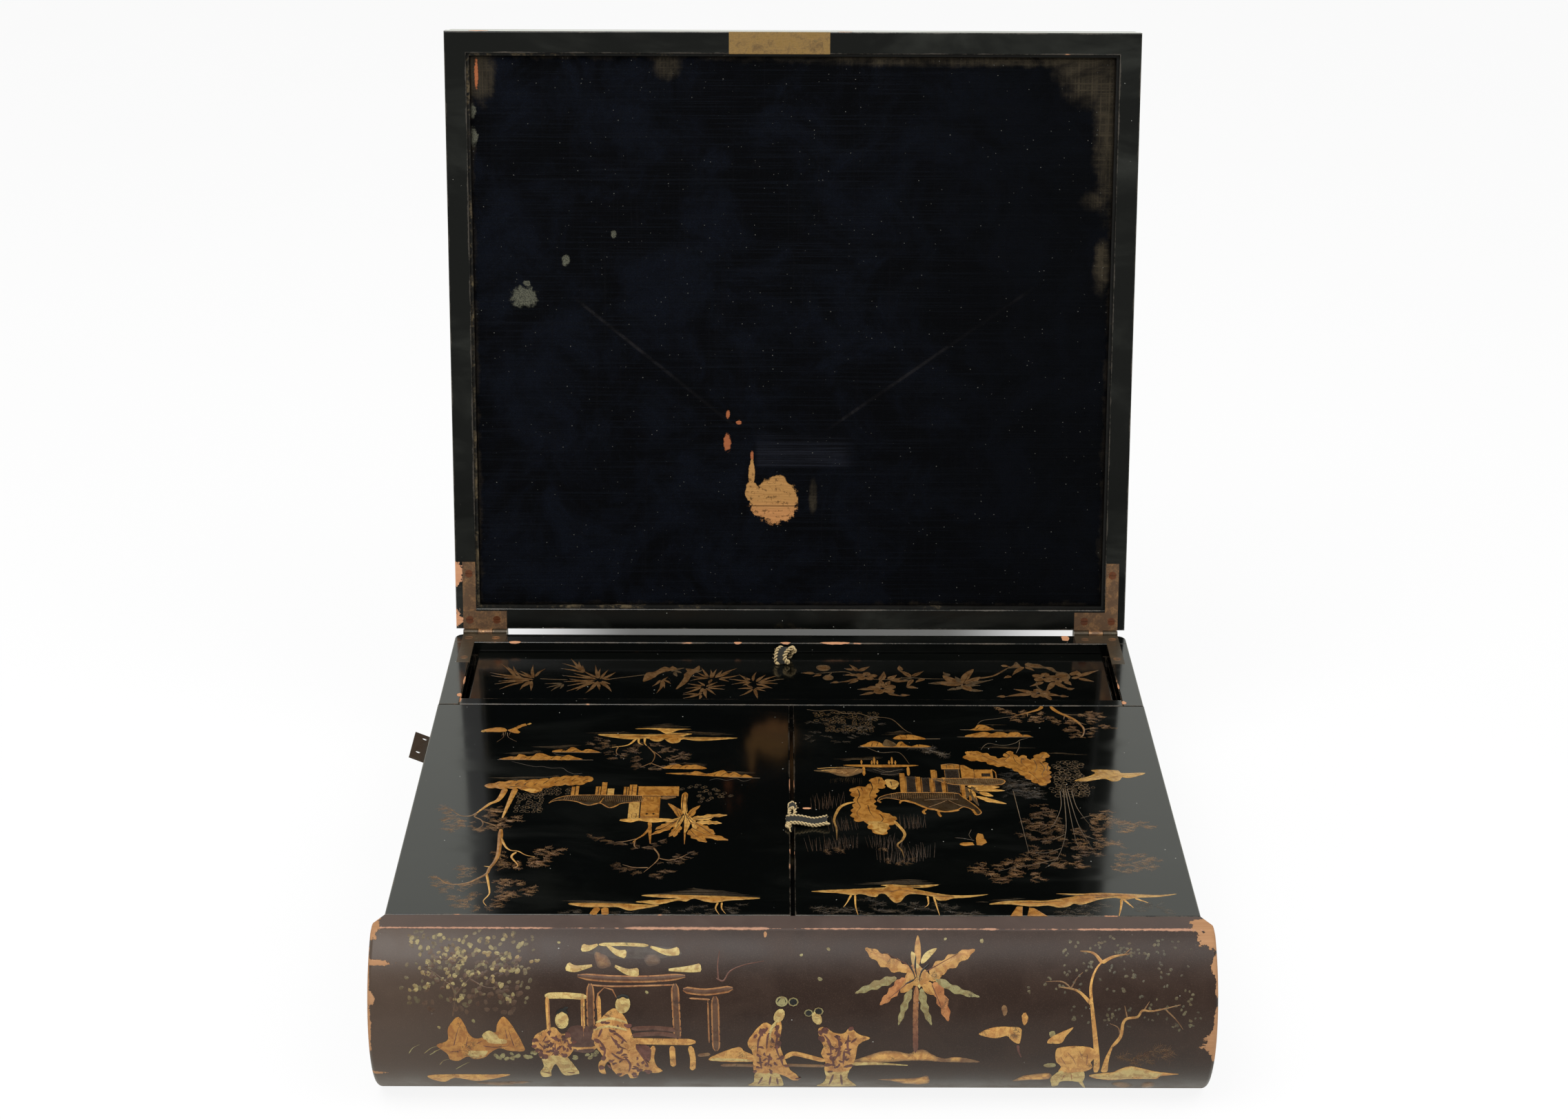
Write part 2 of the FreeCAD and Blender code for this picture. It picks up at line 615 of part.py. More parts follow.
def strike_plate():
    """The brass plate let into the free rim, and its two nails, with the cutters for them."""
    low = "(-strike_shift - strike_length / 2)"
    high = "(-strike_shift + strike_length / 2)"
    seat = block("strike_box", (low, high), (LID_FREE, f"{LID_FREE} + lid_rim_width"),
                 (LID_FACE, f"{LID_FACE} + strike_thickness"))
    nails = [rod(f"strike_nail_{number}", "nail_radius", "nail_length",
                 (x, f"{LID_FREE} + nail_from_edge", LID_FACE))
             for number, x in enumerate((f"{low} + nail_inset", f"{high} - nail_inset"), start=1)]
    node("strike_plate", without("strike_plate", seat, nails), lid=True)
    node("strike_nails", grouped("strike_nails", nails), lid=True)
    return [seat] + nails


def lid_hinges():
    """Both L hinges of the lid. Returns the cutters for the lid's and the carcase's wood."""
    cuts = {name: [] for name in ("lid_hinge_rim", "lid_left_rim", "lid_right_rim",
                                  "back_rail", "left_rail", "right_rail")}
    lid_screws = []
    case_screws = []
    leg_outer = f"({HALF} - lid_hinge_inset)"
    leg_inner = f"({INNER})"
    cross_inner = f"({leg_outer} - lid_hinge_length)"
    leg_middle = f"(({leg_outer} + {leg_inner}) / 2)"
    for side, sign in SIDES:
        ends = side_span(sign, cross_inner, leg_outer)
        leg = side_span(sign, leg_inner, leg_outer)
        flip = "-" if sign < 0 else ""
        spots = ((f"{flip}{leg_middle}", f"({BACK} - lid_hinge_width / 2)"),
                 (f"{flip}({cross_inner} + lid_screw_head * 2.5)", f"({BACK} - lid_hinge_width / 2)"),
                 (f"{flip}{leg_middle}", f"({BACK} - lid_hinge_leg + lid_screw_head * 3)"))
        for part, level, which, face, along in (
                ("lid", (LID_FACE, f"{LID_FACE} + hinge_plate"), "middle", LID_FACE, "z"),
                ("case", ("case_height - hinge_plate", "case_height"), "outer", "case_height", "down")):
            name = f"{side}_{part}_hinge_leaf"
            places = [(x, y, face) for x, y in spots]
            forms, made = screws(f"{side}_{part}_hinge", "lid_screw", places, along)
            (lid_screws if part == "lid" else case_screws).extend(made)
            plates = [block(name + "_cross", ends, (f"{BACK} - lid_hinge_width", BACK), level),
                      block(name + "_leg", leg, (f"{BACK} - lid_hinge_leg", BACK), level)]
            wood = ("lid_hinge_rim", f"lid_{side}_rim") if part == "lid" else ("back_rail", f"{side}_rail")
            if part == "case":
                plates.extend(hinge_stop(side, ends))
            seat = joined(name + "_seat", plates)
            for piece in wood:
                cuts[piece].extend([seat] + forms)
            made_leaf = leaf(name, "x", ends, which, (LID_PIN_Y, LID_PIN_Z), "lid_knuckle",
                             "lid_pin + pin_clearance", plates, (BACK, LID_PIN_Y), level, forms)
            node(name, made_leaf, lid=part == "lid")
        low, high = ends
        node(side + "_lid_pin", rod(side + "_lid_pin", "lid_pin", f"({high}) - ({low})",
                                    (low, LID_PIN_Y, LID_PIN_Z), "x"))
    node("lid_hinge_screws", grouped("lid_hinge_screws", lid_screws), lid=True)
    node("case_hinge_screws", grouped("case_hinge_screws", case_screws))
    return cuts


def hinge_stop(side, ends):
    """The heel behind a lid hinge, on which the open lid's end face comes to rest."""
    below = f"({LID_PIN_Z} - lid_knuckle - hinge_gap)"
    # Height of the open lid's end face over the pin, at the far end of the heel.
    start_y = "(-(lid_knuckle + hinge_gap) * cos(lid_angle) + rest_gap / 2 * sin(lid_angle))"
    start_z = "((lid_knuckle + hinge_gap) * sin(lid_angle) + rest_gap / 2 * cos(lid_angle))"
    end_face = f"({LID_PIN_Z} + {start_z} - (stop_reach - {start_y}) * tan(lid_angle - 90))"
    foot = f"{below} - stop_arm"
    drop = block(side + "_stop_drop", ends, (f"{BACK} - hinge_plate", BACK), (foot, "case_height"))
    arm = block(side + "_stop_arm", ends, (BACK, f"{LID_PIN_Y} + stop_reach"), (foot, below))
    heel = block(side + "_stop_heel", ends, (f"{LID_PIN_Y} + stop_start", f"{LID_PIN_Y} + stop_reach"),
                 (foot, f"{end_face} - rest_gap"))
    return [drop, arm, heel]


# ---------------------------------------------------------------------------
# Flaps
# ---------------------------------------------------------------------------

def flap_hinges():
    """Two butt hinges at the outer edge of each flap.

    The rear hinge of the left flap has come off its wall: that leaf has no
    screws and has swung out and up about its pin. Returns the cutters."""
    cuts = {name: [] for name in ("left_wall", "right_wall", "left_flap", "right_flap")}
    case_screws = []
    for side, sign in SIDES:
        flip = "-" if sign < 0 else ""
        flap_leaves = []
        flap_screws = []
        pins = []
        pin_x = f"{flip}{FLAP_EDGE}"
        plate_root = f"({FLAP_EDGE} - flap_knuckle - hinge_gap)"
        plate_x = side_span(sign, f"{FLAP_EDGE} - flap_hinge_reach", plate_root)
        tongue_x = side_span(sign, plate_root, FLAP_EDGE)
        seat_x = side_span(sign, f"{FLAP_EDGE} - flap_hinge_reach", FLAP_EDGE)
        for end, middle in (("front", f"({FLAP_FRONT} + flap_hinge_setback)"),
                            ("rear", f"({FLAP_BACK} - flap_hinge_setback)")):
            ends = (f"({middle} - flap_hinge_length / 2)", f"({middle} + flap_hinge_length / 2)")
            near_x = f"{flip}({FLAP_EDGE} - flap_screw_near)"
            far_x = f"{flip}({FLAP_EDGE} - flap_screw_far)"
            spots = ((near_x, f"({ends[1]} - flap_screw_rear)"), (far_x, f"({ends[0]} + flap_screw_front)"))
            low, high = ends
            room = rod(f"{side}_{end}_knuckle_room", "flap_knuckle + hinge_gap",
                       f"({high}) - ({low}) + 2 * hinge_gap", (pin_x, f"{low} - hinge_gap", FLAP_PIN_Z), "y")
            loose = side == "left" and end == "rear"
            for part, level, which, face, along in (
                    ("flap", (FLAP_UNDER, f"{FLAP_UNDER} + hinge_plate"), "middle", FLAP_UNDER, "z"),
                    ("case", (f"{WALL_TOP} - hinge_plate", WALL_TOP), "outer", WALL_TOP, "down")):
                name = f"{side}_{end}_{part}_leaf"
                places = [(x, y, face) for x, y in spots]
                forms, made = screws(f"{side}_{end}_{part}_hinge", "flap_screw", places, along)
                plate = block(name + "_plate", plate_x, ends, level)
                seat = joined(name + "_seat", [block(name + "_seat_box", seat_x, ends, level), room])
                cuts[f"{side}_flap" if part == "flap" else f"{side}_wall"].extend([seat] + forms)
                made_leaf = leaf(name, "y", ends, which, (pin_x, FLAP_PIN_Z), "flap_knuckle",
                                 "flap_pin + pin_clearance", [plate], tongue_x, level, forms)
                if part == "flap":
                    flap_leaves.append(made_leaf)
                    flap_screws.extend(made)
                elif loose:
                    turn_about(made_leaf, "0; 1; 0", "loose_turn", x=pin_x, z=FLAP_PIN_Z)
                    node("loose_hinge_leaf", made_leaf)
                else:
                    node(f"{side}_{end}_wall_leaf", made_leaf)
                    case_screws.extend(made)
            pins.append(rod(f"{side}_{end}_pin", "flap_pin", f"({high}) - ({low})",
                            (pin_x, low, FLAP_PIN_Z), "y"))
        node(f"{side}_flap_leaves", grouped(f"{side}_flap_leaves", flap_leaves))
        node(f"{side}_flap_screws", grouped(f"{side}_flap_screws", flap_screws))
        node(f"{side}_flap_pins", grouped(f"{side}_flap_pins", pins))
    node("wall_leaf_screws", grouped("wall_leaf_screws", case_screws))
    return cuts


def flaps(cuts):
    """The two decorated flaps and their ribbon pull tabs."""
    for side, sign in SIDES:
        board = block(side + "_flap_board", side_span(sign, "flap_seam / 2", FLAP_EDGE),
                      (FLAP_FRONT, FLAP_BACK), (FLAP_UNDER, "case_height"))
        board = eased(side + "_flap_arris", board, "edge_round",
                      lambda edge: is_level_at(edge, value("case_height")))
        node(side + "_flap", without(side + "_flap", board, cuts[side + "_flap"]))
    lying = ("-tab_place - tab_width / 2", "-tab_place + tab_width / 2")
    strap = block("tab_strap", ("flap_seam / 2", "flap_seam / 2 + tab_length"), lying,
                  ("case_height", "case_height + tab_thickness"))
    root = block("tab_root", ("flap_seam / 2 - tab_thickness / 2", "flap_seam / 2"), lying,
                 ("case_height - flap_thickness / 2", "case_height + tab_thickness"))
    node("right_flap_tab", joined("right_flap_tab", [strap, root]))
    standing = ("-stub_place - tab_width / 2", "-stub_place + tab_width / 2")
    stem = block("stub_stem", ("-flap_seam / 2", "-flap_seam / 2 + tab_thickness / 2"), standing,
                 ("case_height - flap_thickness / 2", "case_height + stub_height"))
    curl = block("stub_curl", ("-flap_seam / 2 - tab_thickness", "-flap_seam / 2 + tab_thickness / 2"),
                 standing, ("case_height", "case_height + stub_height"))
    node("left_flap_tab", joined("left_flap_tab", [stem, curl]))


# ---------------------------------------------------------------------------
# The whole box
# ---------------------------------------------------------------------------

lid_cuts = lid_hinges()
flap_cuts = flap_hinges()
carcase(flap_cuts)
rails(lid_cuts)
front_panel()
strip_well()
inkstone()
water_dropper()
strip_lid()
lid_cuts["lid_free_rim"] = strike_plate()
lid(lid_cuts)
flaps(flap_cuts)
doc.recompute()

for thing in doc.Objects:
    state = set(thing.State)
    if state & {"Invalid", "Error"}:
        raise RuntimeError(f"{thing.Name} failed: {thing.State}")
for piece in nodes:
    if piece.Shape.isNull() or not piece.Shape.isValid():
        raise RuntimeError(f"{piece.Label} has no valid shape")

os.makedirs("parts", exist_ok=True)
for piece in nodes:
    piece.Shape.exportStep(f"parts/{piece.Label}.step")
print(len(nodes), "sub-parts written")
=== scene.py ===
"""A lacquer writing and ink box: its finishes, velvet, ribbons and gold painting."""
import bmesh
import bpy
import math
import random
import re
from functools import partialmethod
from itertools import accumulate
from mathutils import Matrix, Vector, noise
from mathutils.geometry import delaunay_2d_cdt

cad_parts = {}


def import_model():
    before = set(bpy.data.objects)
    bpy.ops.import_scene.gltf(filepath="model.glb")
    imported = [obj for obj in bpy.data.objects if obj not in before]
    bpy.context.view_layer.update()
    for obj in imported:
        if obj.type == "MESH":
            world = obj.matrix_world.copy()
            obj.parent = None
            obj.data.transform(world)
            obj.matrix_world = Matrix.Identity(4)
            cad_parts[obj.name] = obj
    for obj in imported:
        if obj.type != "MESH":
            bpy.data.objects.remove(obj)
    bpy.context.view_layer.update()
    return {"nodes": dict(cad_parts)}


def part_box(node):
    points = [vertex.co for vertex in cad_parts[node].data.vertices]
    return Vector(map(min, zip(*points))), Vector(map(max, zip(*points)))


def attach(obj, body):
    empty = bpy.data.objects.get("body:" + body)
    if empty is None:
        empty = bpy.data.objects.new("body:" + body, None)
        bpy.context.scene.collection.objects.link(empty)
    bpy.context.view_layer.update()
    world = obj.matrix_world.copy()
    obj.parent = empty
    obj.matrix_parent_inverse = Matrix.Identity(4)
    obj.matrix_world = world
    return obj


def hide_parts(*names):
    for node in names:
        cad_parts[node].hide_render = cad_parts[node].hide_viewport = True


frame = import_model()

MM = 0.001
LID_PIN = (0, 0.1721, 0.09015)
LID_TURN = math.radians(99.7)

# the visible surfaces of the box, mm
FLAP_TOP = 90
STRIP_TOP = 84
PANEL_RADIUS = 51
PANEL_AXIS_Y = -158.5
PANEL_AXIS_Z = 45
PANEL_ARRIS = math.asin((FLAP_TOP - PANEL_AXIS_Z) / PANEL_RADIUS)
PANEL_LENGTH = 411


# ---------------------------------------------------------------- node trees

class Net:
    """Short calls that add and join the nodes of one tree."""

    def __init__(self, tree):
        self.tree = tree

    def feed(self, socket, value):
        if isinstance(value, bpy.types.NodeSocket):
            self.tree.links.new(value, socket)
        elif isinstance(value, bpy.types.Node):
            self.tree.links.new(value.outputs[0], socket)
        else:
            socket.default_value = value

    def add(self, kind, inputs=None, **settings):
        node = self.tree.nodes.new(kind)
        for key, value in settings.items():
            setattr(node, key, value)
        for key, value in (inputs or {}).items():
            self.feed(node.inputs[key], value)
        return node

    def sum(self, operation, a, b=0, c=0, clamp=False):
        return self.add("ShaderNodeMath", {0: a, 1: b, 2: c}, operation=operation, use_clamp=clamp).outputs[0]

    plus = partialmethod(sum, "ADD")
    less = partialmethod(sum, "SUBTRACT")
    times = partialmethod(sum, "MULTIPLY")
    times_plus = partialmethod(sum, "MULTIPLY_ADD")
    most = partialmethod(sum, "MAXIMUM")
    least = partialmethod(sum, "MINIMUM")
    size = partialmethod(sum, "ABSOLUTE")

    def vector(self, operation, a, b=(0, 0, 0)):
        node = self.add("ShaderNodeVectorMath", {0: a, 1: b}, operation=operation)
        return node.outputs["Value" if operation == "LENGTH" else "Vector"]

    def span(self, value, low, high, to_low=0, to_high=1):
        """Eased from to_low at low to to_high at high."""
        return self.add("ShaderNodeMapRange", {0: value, 1: low, 2: high, 3: to_low, 4: to_high},
                        interpolation_type="SMOOTHSTEP").outputs[0]

    def fall(self, value, low, high):
        return self.span(value, low, high, 1, 0)

    def mix(self, share, a, b, blend="MIX"):
        return self.add("ShaderNodeMix", {0: share, 6: a, 7: b}, data_type="RGBA", blend_type=blend).outputs[2]

    def cloud(self, place, scale, detail=2, rough=0.5, twist=0):
        return self.add("ShaderNodeTexNoise", {"Vector": place, "Scale": scale, "Detail": detail,
                                               "Roughness": rough, "Distortion": twist}).outputs[0]

    def stretch(self, place, scale, turn=(0, 0, 0), shift=(0, 0, 0)):
        return self.add("ShaderNodeMapping", {"Vector": place, "Location": shift, "Rotation": turn,
                                              "Scale": scale}).outputs[0]

    def parts(self, vector):
        return self.add("ShaderNodeSeparateXYZ", {0: vector}).outputs

    def run(self, group, **values):
        """The outputs of a node group whose named inputs are fed."""
        return self.add("ShaderNodeGroup", values, node_tree=group).outputs

    def flecks(self, place, scale, rarity, growth, least):
        """Small round flecks, in some of the cells only."""
        cells = self.add("ShaderNodeTexVoronoi", {"Vector": place, "Scale": scale, "Randomness": 1}).outputs
        chosen = self.sum("GREATER_THAN", self.parts(cells["Color"])[0], rarity)
        size = self.times_plus(self.parts(cells["Color"])[1], growth, least)
        return self.times(chosen, self.sum("LESS_THAN", cells["Distance"], size))


class Finish(Net):
    """A new material: the nodes that feed its Principled shader."""

    def __init__(self, name):
        self.made = bpy.data.materials.new(name)
        self.made.use_nodes = True
        self.made.node_tree.nodes.clear()
        super().__init__(self.made.node_tree)
        self.shader = self.add("ShaderNodeBsdfPrincipled")
        self.output = self.add("ShaderNodeOutputMaterial", {"Surface": self.shader})

    def coat(self, name, value):
        self.feed(self.shader.inputs[name], value)

    def bump(self, height, distance, strength):
        self.coat("Normal", self.add("ShaderNodeBump", {
            "Height": height, "Distance": distance, "Strength": strength}))

    def place(self, on_lid=False):
        """Object coordinates; on the lid they are turned back to where the shut lid lies."""
        place = self.add("ShaderNodeTexCoord").outputs["Object"]
        if not on_lid:
            return place
        return self.add("ShaderNodeVectorRotate", {"Vector": place, "Center": LID_PIN, "Angle": LID_TURN},
                        rotation_type="X_AXIS").outputs[0]

    def spots(self, place, spots, ragged=0.35, softness=0.08, fineness=260):
        """The greatest of several worn spots, each (centre mm, size mm)."""
        mask = None
        for spot in spots:
            centre, size = ([value * MM for value in part] for part in spot)
            worn = self.run(SPOT, Place=place, Centre=centre, Size=size, Ragged=ragged, Softness=softness,
                            Fineness=fineness)[0]
            mask = worn if mask is None else self.most(mask, worn)
        return mask


def rgb(red, green, blue):
    """An sRGB colour, 0 to 255, as the linear colour of a node socket."""
    def linear(value):
        value /= 255
        return value / 12.92 if value <= 0.04045 else ((value + 0.055) / 1.055) ** 2.4
    return (linear(red), linear(green), linear(blue), 1)


def numbers(words):
    """The numbers in a text; a minus sign also parts two of them."""
    return [float(word) for word in re.findall(r"-?[\d.]+", words)]


def spots(rows, face=90, deep=1):
    """Worn spots, mm: the centre and the half size of each; one with four numbers lies on a face."""
    made = []
    for row in rows.split("/"):
        n = numbers(row)
        made.append((n[:3], n[3:]) if len(n) == 6 else ((*n[:2], face), (*n[2:], deep)))
    return made


def tree_of(name, kind, inputs, outputs):
    """A new node group with named inputs and outputs, as a Net and its two ends."""
    tree = bpy.data.node_groups.new(name, kind)
    for way, rows in (("INPUT", inputs), ("OUTPUT", outputs)):
        for label, kind, *value in rows:
            socket = tree.interface.new_socket(label, in_out=way, socket_type="NodeSocket" + kind)
            if value:
                socket.default_value = value[0]
    net = Net(tree)
    return net, net.add("NodeGroupInput").outputs, net.add("NodeGroupOutput").inputs


def make_edge_wear():
    """How worn a point of a square-edged board is, from its distance to the nearest edge."""
    net, given, out = tree_of("edge wear", "ShaderNodeTree", [
        ("Place", "Vector"), ("Low", "Vector", (0, 0, 0)), ("High", "Vector", (1, 1, 1)),
        ("Width", "Float", 0.001), ("Patchiness", "Float", 0.5)], [
        ("Rubbed", "Float"), ("Bare", "Float"), ("Distance", "Float")])
    place = given["Place"]
    inner = net.vector("MINIMUM", net.vector("SUBTRACT", place, given["Low"]),
                       net.vector("SUBTRACT", given["High"], place))
    x, y, z = net.parts(inner)
    nearest = net.most(net.least(x, y), net.least(net.most(x, y), z))
    fine = net.cloud(place, 900, 3, 0.6)
    long = net.cloud(place, 55, 3, 0.55)
    ragged = net.times_plus(net.less(fine, 0.5), 0.0012, nearest)
    reach = net.times(given["Width"], net.span(long, 0.36, 0.68, 0.35, 1.5))
    rubbed = net.fall(net.sum("DIVIDE", ragged, reach), 0.35, 1.1)
    net.feed(out["Rubbed"], rubbed)
    deep = net.less(0.74, net.times(given["Patchiness"], 0.2))
    core = net.fall(net.sum("DIVIDE", ragged, reach), 0.2, 0.75)
    net.feed(out["Bare"], net.times(core, net.span(long, deep, net.plus(deep, 0.05))))
    net.feed(out["Distance"], nearest)
    return net.tree


def make_film():
    """A polished film: slow waves, fine pitting, smears and settled dust."""
    net, given, out = tree_of("lacquer film", "ShaderNodeTree", [
        ("Place", "Vector"), ("Dust", "Float", 0.5)], [
        ("Cloud", "Float"), ("Height", "Float"), ("Haze", "Float"), ("Dust", "Float")])
    place = given["Place"]
    slow = net.cloud(place, 38, 2, 0.5)
    fine = net.cloud(place, 1500, 2, 0.6)
    net.feed(out["Cloud"], net.cloud(place, 14, 4, 0.6, 0.4))
    net.feed(out["Height"], net.times_plus(fine, 0.03, slow))
    smear = net.cloud(net.stretch(place, (9, 22, 22), (0.3, 0.2, 0.5)), 1, 5, 0.62, 0.6)
    net.feed(out["Haze"], net.span(smear, 0.44, 0.72))
    net.feed(out["Dust"], net.times(net.flecks(place, 230, 0.84, 0.055, 0.02), given["Dust"]))
    return net.tree


def make_grain():
    """Straight wood grain that runs along X of the place it is given."""
    net, given, out = tree_of("wood grain", "ShaderNodeTree", [("Place", "Vector")], [
        ("Grain", "Float"), ("Height", "Float")])
    place = given["Place"]
    long = net.cloud(net.stretch(place, (18, 420, 420)), 1, 4, 0.6, 0.5)
    pores = net.cloud(net.stretch(place, (90, 2400, 2400)), 1, 2, 0.5)
    net.feed(out["Grain"], net.times_plus(pores, 0.35, net.times(long, 0.75)))
    net.feed(out["Height"], net.plus(long, net.times(pores, 0.6)))
    return net.tree


def make_tarnish():
    """Patchy oxide and rubbed high spots on old brass."""
    net, given, out = tree_of("brass tarnish", "ShaderNodeTree", [
        ("Place", "Vector"), ("Age", "Float", 0.5)], [
        ("Dark", "Float"), ("Green", "Float"), ("Roughness", "Float"), ("Height", "Float")])
    place = given["Place"]
    broad = net.cloud(place, 160, 4, 0.62, 0.5)
    fine = net.cloud(place, 1100, 3, 0.6)
    brushed = net.cloud(net.stretch(place, (60, 2600, 900)), 1, 2)
    both = net.times_plus(fine, 0.35, net.times(broad, 0.75))
    low = net.less(0.86, given["Age"])
    net.feed(out["Dark"], net.span(both, low, net.plus(low, 0.38)))
    net.feed(out["Green"], net.span(net.cloud(place, 420, 3, 0.6), 0.62, 0.74))
    net.feed(out["Roughness"], net.times_plus(both, 0.35, 0.2))
    net.feed(out["Height"], net.times_plus(brushed, 0.3, both))
    return net.tree


def make_spot():
    """A ragged round or oval patch about a centre, 1 inside and 0 outside."""
    net, given, out = tree_of("worn spot", "ShaderNodeTree", [
        ("Place", "Vector"), ("Centre", "Vector", (0, 0, 0)), ("Size", "Vector", (1, 1, 1)),
        ("Ragged", "Float", 0.4), ("Softness", "Float", 0.1), ("Fineness", "Float", 150)], [("Spot", "Float")])
    place = given["Place"]
    away = net.vector("DIVIDE", net.vector("SUBTRACT", place, given["Centre"]), given["Size"])
    torn = net.less(net.cloud(place, given["Fineness"], 5, 0.68), 0.5)
    reach = net.times_plus(torn, net.times(given["Ragged"], 4), net.vector("LENGTH", away))
    net.feed(out["Spot"], net.fall(reach, 1, net.plus(given["Softness"], 1)))
    return net.tree


EDGE_WEAR = make_edge_wear()
FILM = make_film()
GRAIN = make_grain()
TARNISH = make_tarnish()
SPOT = make_spot()

BARE_WOOD = rgb(176, 112, 80)
PALE_WOOD = rgb(220, 164, 118)
DUST = rgb(190, 190, 180)


def shut_box(node):
    """The box of a lid's node with the lid shut, m."""
    low, high = [1e9] * 3, [-1e9] * 3
    cos, sin = math.cos(LID_TURN), math.sin(LID_TURN)
    for vertex in frame["nodes"][node].data.vertices:
        y, z = vertex.co.y - LID_PIN[1], vertex.co.z - LID_PIN[2]
        at = (vertex.co.x, LID_PIN[1] + y * cos - z * sin, LID_PIN[2] + y * sin + z * cos)
        low = [min(a, b) for a, b in zip(low, at)]
        high = [max(a, b) for a, b in zip(high, at)]
    return low, high


def dress(node, made):
    """Gives a carried-over node its finish."""
    target = frame["nodes"][node].data.materials
    target.clear()
    target.append(made)


def lacquer(node, tint, edge=0.0007, patchy=0.5, on_lid=False, rough=0.1, dust=0.6, rub=rgb(72, 62, 50),
            turn=(0, 0, 0), haze=0.03, shine=1.52, name=None):
    """Dresses one board in old polished lacquer, rubbed thin along its edges and chipped to the wood."""
    net = Finish(name or node + " lacquer")
    place = net.place(on_lid)
    low, high = shut_box(node) if on_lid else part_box(node)
    wear = net.run(EDGE_WEAR, Place=place, Low=tuple(low), High=tuple(high), Width=edge, Patchiness=patchy)
    film = net.run(FILM, Place=place, Dust=dust)
    grain = net.run(GRAIN, Place=net.stretch(place, (1, 1, 1), turn))
    bare = wear["Bare"]
    if node in CHIPS:
        bare = net.most(bare, net.spots(place, CHIPS[node]))
    wood = net.mix(grain["Grain"], BARE_WOOD, PALE_WOOD)
    skin = net.mix(net.times(film["Cloud"], 0.5), tint, [c * 1.5 for c in tint[:3]] + [1])
    skin = net.mix(net.times(film["Haze"], haze), skin, rgb(66, 68, 62))
    skin = net.mix(net.times(wear["Rubbed"], 0.75), skin, rub)
    skin = net.mix(bare, skin, wood)
    net.coat("Base Color", net.mix(film["Dust"], skin, DUST))
    gloss = net.times_plus(film["Haze"], 0.10, rough)
    gloss = net.times_plus(wear["Rubbed"], 0.2, gloss)
    gloss = net.times_plus(net.most(bare, film["Dust"]), 0.5, gloss, clamp=True)
    net.coat("Roughness", gloss)
    sunk = net.times(bare, net.times_plus(grain["Height"], 0.25, -0.9))
    lift = net.plus(net.times(film["Height"], 0.12), sunk)
    net.bump(lift, 0.0006, 0.5)
    net.coat("IOR", shine)
    dress(node, net.made)


def brass(nodes, bright, dark, age, on_lid=False, name=None):
    """Dresses nodes in old brass, darkened and greened by its age."""
    for node in nodes.split():
        net = Finish(name or node + " brass")
        tarnish = net.run(TARNISH, Place=net.place(on_lid), Age=age)
        skin = net.mix(tarnish["Dark"], bright, dark)
        skin = net.mix(net.times(tarnish["Green"], 0.35), skin, rgb(96, 104, 78))
        net.coat("Base Color", skin)
        net.coat("Metallic", net.times_plus(tarnish["Dark"], -0.55, 0.95))
        net.coat("Roughness", tarnish["Roughness"])
        net.bump(tarnish["Height"], 0.0004, 0.35)
        dress(node, net.made)


# ---------------------------------------------------------------- the lacquered wood

BLACK = rgb(4, 5, 4)
BROWN_BLACK = rgb(46, 33, 27)
WELL_BLACK = rgb(22, 19, 17)
ACROSS = (0, 0, math.radians(90))

# where the wood shows, the lid's chips with the lid shut
CHIPS = {
    "back_rail": spots("-31.5 158.5 2 .8/-164 158.4 3 1.2/-3 158.5 2.6 .8/27 158.6 8 1/164 166 2.2 4.5"),
    "left_rail": spots("-189 84 1.6 2/-188.4 104 .5 5"),
    "right_rail": spots("189 76 1.6 2.2/188.4 98 .5 4"),
    "cross_rail": spots("-124 70.4 1.3 .6/-107 70.4 6 .6/-75 70.4 9 .6/-57 70.4 5 .7"),
    "left_flap": spots("-.6 -28 .9 8.5/-.6 -103 .7 4/-.5 65 .6 3/-.5 15 .5 2"),
    "right_flap": spots(".6 -27 .7 7/.6 -104 .6 3/8.2 -55.4 2.1 .9/6.8 -55.4 1.2 .4"),
    "lid_left_rim": spots("-199 136 94.3 4.6 10 6/-198.6 163 94.3 3.6 8 5/-190.2 126.5 94.3 1.2 3.4 2/"
                          "-200 20 97 .6 9 2"),
    "lid_hinge_rim": spots("-169.6 163 94.3 .9 5 3/166 163 94.3 .7 2.5 3"),
    "lid_free_rim": spots("187.5 -179.5 94.3 3.4 2.2 3/30 -182 94.3 5 .9 3/-181 -182.6 94.3 6 .7 3"),
    "lid_right_rim": spots("190.4 -39 94.3 1.1 2.6 2/200 112 95 .5 2 2"),
}
for node in ("bottom_board", "left_wall", "right_wall", "back_wall", "cross_wall", "centre_wall"):
    lacquer(node, BLACK, edge=0.0012, rough=0.16,
            turn=ACROSS if node in ("left_wall", "right_wall", "centre_wall") else (0, 0, 0))
for node in ("back_rail", "left_rail", "right_rail", "cross_rail"):
    lacquer(node, BLACK, patchy=0.45, turn=ACROSS if node in ("left_rail", "right_rail") else (0, 0, 0), haze=0.07)
for node in ("back_ledge", "front_ledge", "well_floor", "brush_cell_wall", "stone_cell_wall"):
    lacquer(node, WELL_BLACK, rough=0.35, patchy=0.2)
for node in ("left_flap", "right_flap"):
    lacquer(node, BLACK, patchy=0.45, rough=0.09, dust=0.8, haze=0.06, shine=1.48)
lacquer("strip_lid", BLACK, dust=0.9, name="strip lid lacquer")
for node in ("lid_board", "lid_free_rim", "lid_hinge_rim", "lid_left_rim", "lid_right_rim"):
    lacquer(node, BLACK, patchy=0.15, on_lid=True, rough=0.12, rub=rgb(78, 72, 64), haze=0.3)
lacquer("velvet_backing", WELL_BLACK, edge=0.0011, on_lid=True, rough=0.5, name="backing lacquer")


